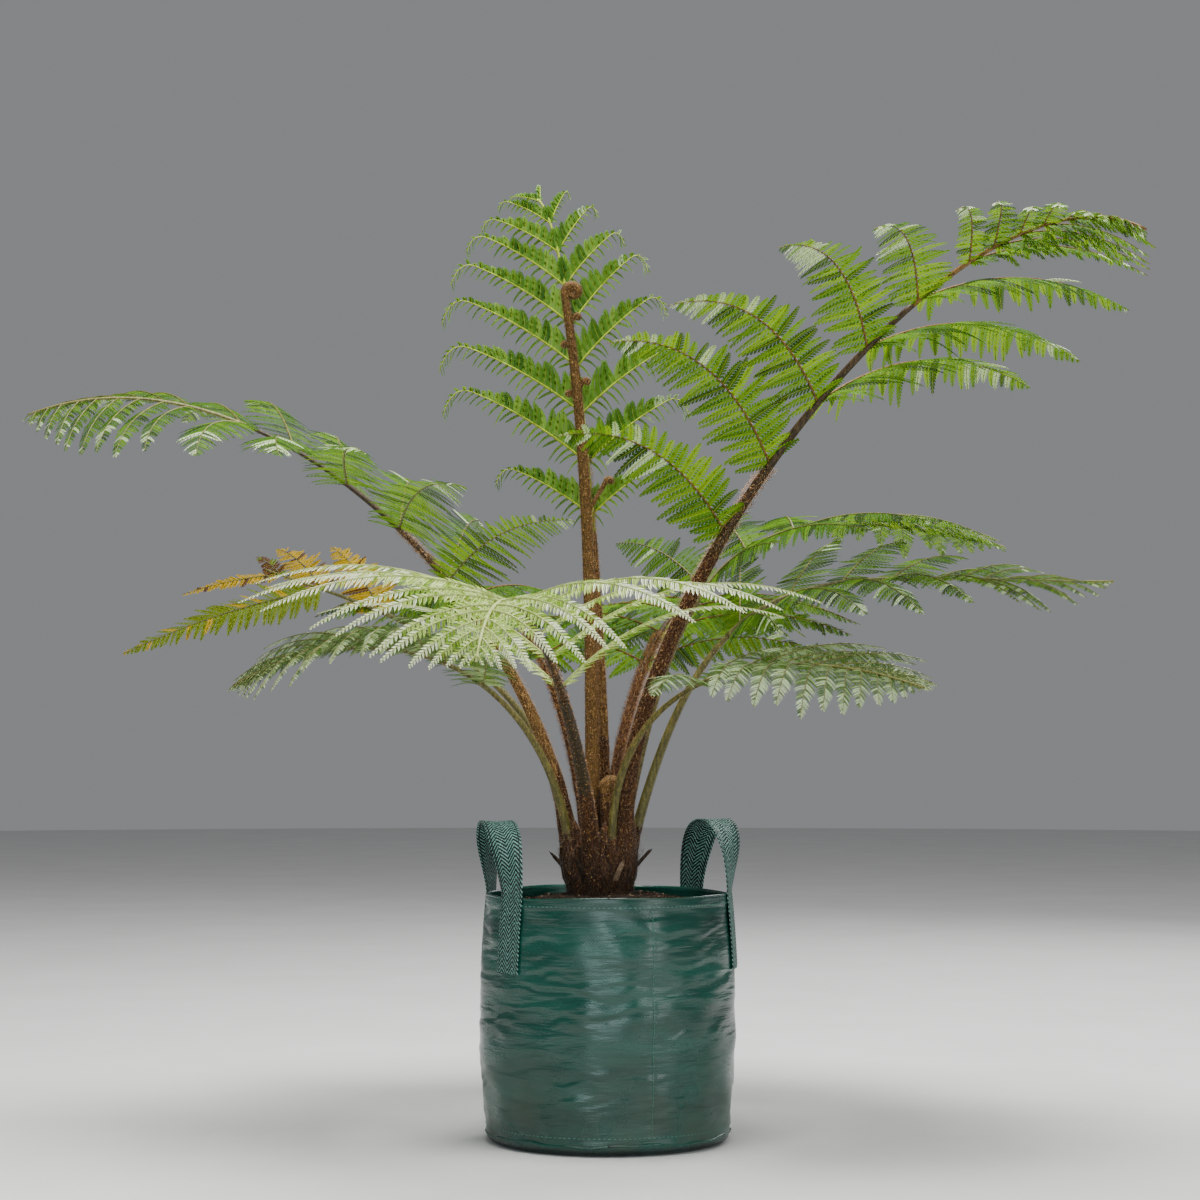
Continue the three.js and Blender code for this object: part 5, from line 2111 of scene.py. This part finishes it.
def make_finishes() -> Finishes:
    """Makes every finish of the part once.

    Returns:
        The materials by name.
    """
    leaves = [
        LeafTint("mid_green", (0.035, 0.105, 0.003), (0.14, 0.3, 0.003)),
        LeafTint("bright_green", (0.075, 0.18, 0.003), (0.24, 0.42, 0.004)),
        LeafTint("deep_green", (0.012, 0.042, 0.002), (0.05, 0.12, 0.002)),
        # A pale tint painted as sheen of reflected light on leaflets near pinna tips.
        LeafTint("painted_sheen_green", (0.48, 0.62, 0.3), (0.3, 0.42, 0.12), 0.26, 0.15, 0.6),
        LeafTint("green_midrib", (0.24, 0.25, 0.02), (0.3, 0.34, 0.02)),
        LeafTint("pale_lime", (0.52, 0.7, 0.17), (0.34, 0.46, 0.06)),
        LeafTint("soft_lime", (0.2, 0.35, 0.02), (0.3, 0.44, 0.02)),
        LeafTint("lime_green", (0.7, 0.85, 0.33), (0.4, 0.5, 0.1)),
        # Painted sheen of reflected light on leaflets near pinna tips.
        LeafTint("painted_sheen_lime", (0.85, 0.93, 0.58), (0.4, 0.5, 0.16), 0.3, 0.12, 0.6),
        LeafTint("pale_midrib", (0.6, 0.68, 0.36), (0.4, 0.46, 0.12)),
        LeafTint("grey_green", (0.09, 0.15, 0.04), (0.14, 0.22, 0.03)),
        LeafTint("sage_green", (0.27, 0.38, 0.15), (0.24, 0.32, 0.08)),
        LeafTint("fresh_green", (0.085, 0.2, 0.022), (0.24, 0.44, 0.03), 0.42, 0.36),
        LeafTint("new_green", (0.15, 0.3, 0.04), (0.36, 0.58, 0.05), 0.42, 0.36),
        LeafTint("shade_green", (0.038, 0.11, 0.014), (0.18, 0.36, 0.02), 0.42, 0.36),
        # Painted sheen of reflected light on leaflets near pinna tips.
        LeafTint("painted_sheen_fresh", (0.34, 0.46, 0.22), (0.34, 0.5, 0.16), 0.4, 0.3),
        LeafTint("fresh_midrib", (0.3, 0.4, 0.04), (0.42, 0.56, 0.04), 0.42, 0.4),
        LeafTint("fading_green", (0.11, 0.18, 0.003), (0.3, 0.36, 0.004)),
        LeafTint("yellow_leaf", (0.5, 0.31, 0.003), (0.55, 0.38, 0.004)),
        LeafTint("brown_leaf", (0.1, 0.036, 0.008), (0.16, 0.06, 0.01), 0.7, 0.12),
        LeafTint("yellow_midrib", (0.4, 0.3, 0.03), (0.4, 0.3, 0.03)),
    ]
    furred = ((0.008, 0.003, 0.001), (0.042, 0.015, 0.004), (0.15, 0.06, 0.014))
    golden = ((0.04, 0.018, 0.005), (0.13, 0.068, 0.018), (0.3, 0.18, 0.05))
    coiled = ((0.028, 0.012, 0.003), (0.11, 0.056, 0.012), (0.3, 0.17, 0.04))
    ribs = {
        "brown_rachis": ((0.012, 0.007, 0.002), (0.04, 0.022, 0.007), (0.1, 0.06, 0.018)),
        "golden_rib": ((0.07, 0.034, 0.007), (0.15, 0.075, 0.015), (0.28, 0.16, 0.04)),
        "olive_rachis": ((0.04, 0.035, 0.009), (0.1, 0.09, 0.022), (0.2, 0.18, 0.05)),
        "olive_rib": ((0.08, 0.07, 0.016), (0.16, 0.15, 0.035), (0.28, 0.26, 0.08)),
        "pale_rib": ((0.24, 0.27, 0.06), (0.4, 0.46, 0.14), (0.54, 0.6, 0.26)),
        "lime_rib": ((0.2, 0.25, 0.01), (0.34, 0.42, 0.02), (0.46, 0.54, 0.06)),
    }
    woods = {
        "dry_wood": ((0.008, 0.005, 0.003), (0.03, 0.017, 0.01), (0.09, 0.055, 0.032)),
        "pale_wood": ((0.12, 0.08, 0.05), (0.26, 0.17, 0.1), (0.42, 0.3, 0.2)),
    }
    olive = ((0.008, 0.006, 0.002), (0.028, 0.019, 0.006), (0.07, 0.05, 0.015))
    smooth = ((0.03, 0.024, 0.006), (0.09, 0.08, 0.016), (0.19, 0.16, 0.035))
    # The trunk's core is near-black, partly its fibre and partly painted shade in the crevices.
    trunk = ((0.005, 0.002, 0.001), (0.022, 0.009, 0.004), (0.08, 0.034, 0.012))
    stalks = [
        StalkFinish("furred_bark", *furred, 0.85, 70.0, 0.0012, 0.42),
        StalkFinish("golden_bark", *golden, 0.8, 70.0, 0.0012, 0.42),
        StalkFinish("coiled_bark", *coiled, 0.8, 120.0, 0.0012, 0.42),
        *(StalkFinish(name, *shades, 0.5, 40.0, 0.0004) for name, shades in ribs.items()),
        *(StalkFinish(name, *shades, 0.85, 50.0) for name, shades in woods.items()),
        StalkFinish("olive_bark", *olive, 0.6, 55.0, 0.001, 0.42),
        StalkFinish("smooth_bark", *smooth, 0.5, 40.0, 0.0006, 0.45),
        StalkFinish("trunk_bark_crevice_shade", *trunk, 0.95, 45.0, 0.004),
    ]
    hairs = [
        HairFinish("golden_hair", (0.28, 0.13, 0.03), (0.72, 0.42, 0.14)),
        HairFinish("rust_hair", (0.1, 0.032, 0.007), (0.34, 0.13, 0.03)),
        HairFinish("dark_hair", (0.012, 0.005, 0.002), (0.06, 0.022, 0.008)),
        HairFinish("root_fibre", (0.01, 0.005, 0.003), (0.15, 0.075, 0.034), 0.9),
    ]
    mixed = ((0.3, (0.006, 0.004, 0.003)), (0.6, (0.03, 0.018, 0.011)), (0.8, (0.08, 0.05, 0.03)))
    pairs = {
        "dark_chip": ((0.01, 0.006, 0.004), (0.05, 0.028, 0.017), 200.0, 0.001),
        "brown_chip": ((0.03, 0.016, 0.01), (0.12, 0.065, 0.04), 200.0, 0.001),
        "seam_thread": ((0.05, 0.17, 0.13), (0.12, 0.3, 0.24), 300.0, 0.0002, 0.6),
        "webbing_thread": ((0.05, 0.14, 0.11), (0.13, 0.28, 0.22), 300.0, 0.0002, 0.6),
        "pale_floor": ((0.66, 0.65, 0.63), (0.72, 0.71, 0.69), 3.0, 0.0005, 0.9),
    }
    grains = [MatteGrain("potting_mix", mixed, 130.0, 0.004)]
    for name, (dark, pale, *looks) in pairs.items():
        grains.append(MatteGrain(name, ((0.3, dark), (0.7, pale)), *looks))
    sheets = [WovenFilm(), HerringboneWebbing()]
    return {finish.name: finish.make() for finish in [*leaves, *stalks, *hairs, *grains, *sheets]}


def main() -> None:
    """Builds the whole dressed part and its studio."""
    logging.basicConfig(level=logging.INFO, format="%(message)s")
    finishes = make_finishes()
    bag = GrowBag()
    bag.build(finishes)
    for name, angle in zip(("handle_left", "handle_right"), Handle.ANGLES):
        Handle(name, angle, bag).build(finishes)
    PottingMix(bag).build(finishes)
    Trunk().build(finishes, 5)
    for number, crozier in enumerate(CROZIERS):
        crozier.build(finishes, 20 + number)
    for number, habit in enumerate(HABITS):
        Frond(habit, finishes, 100 + number).build()
    Studio().build(finishes)


if __name__ == "__main__":
    main()
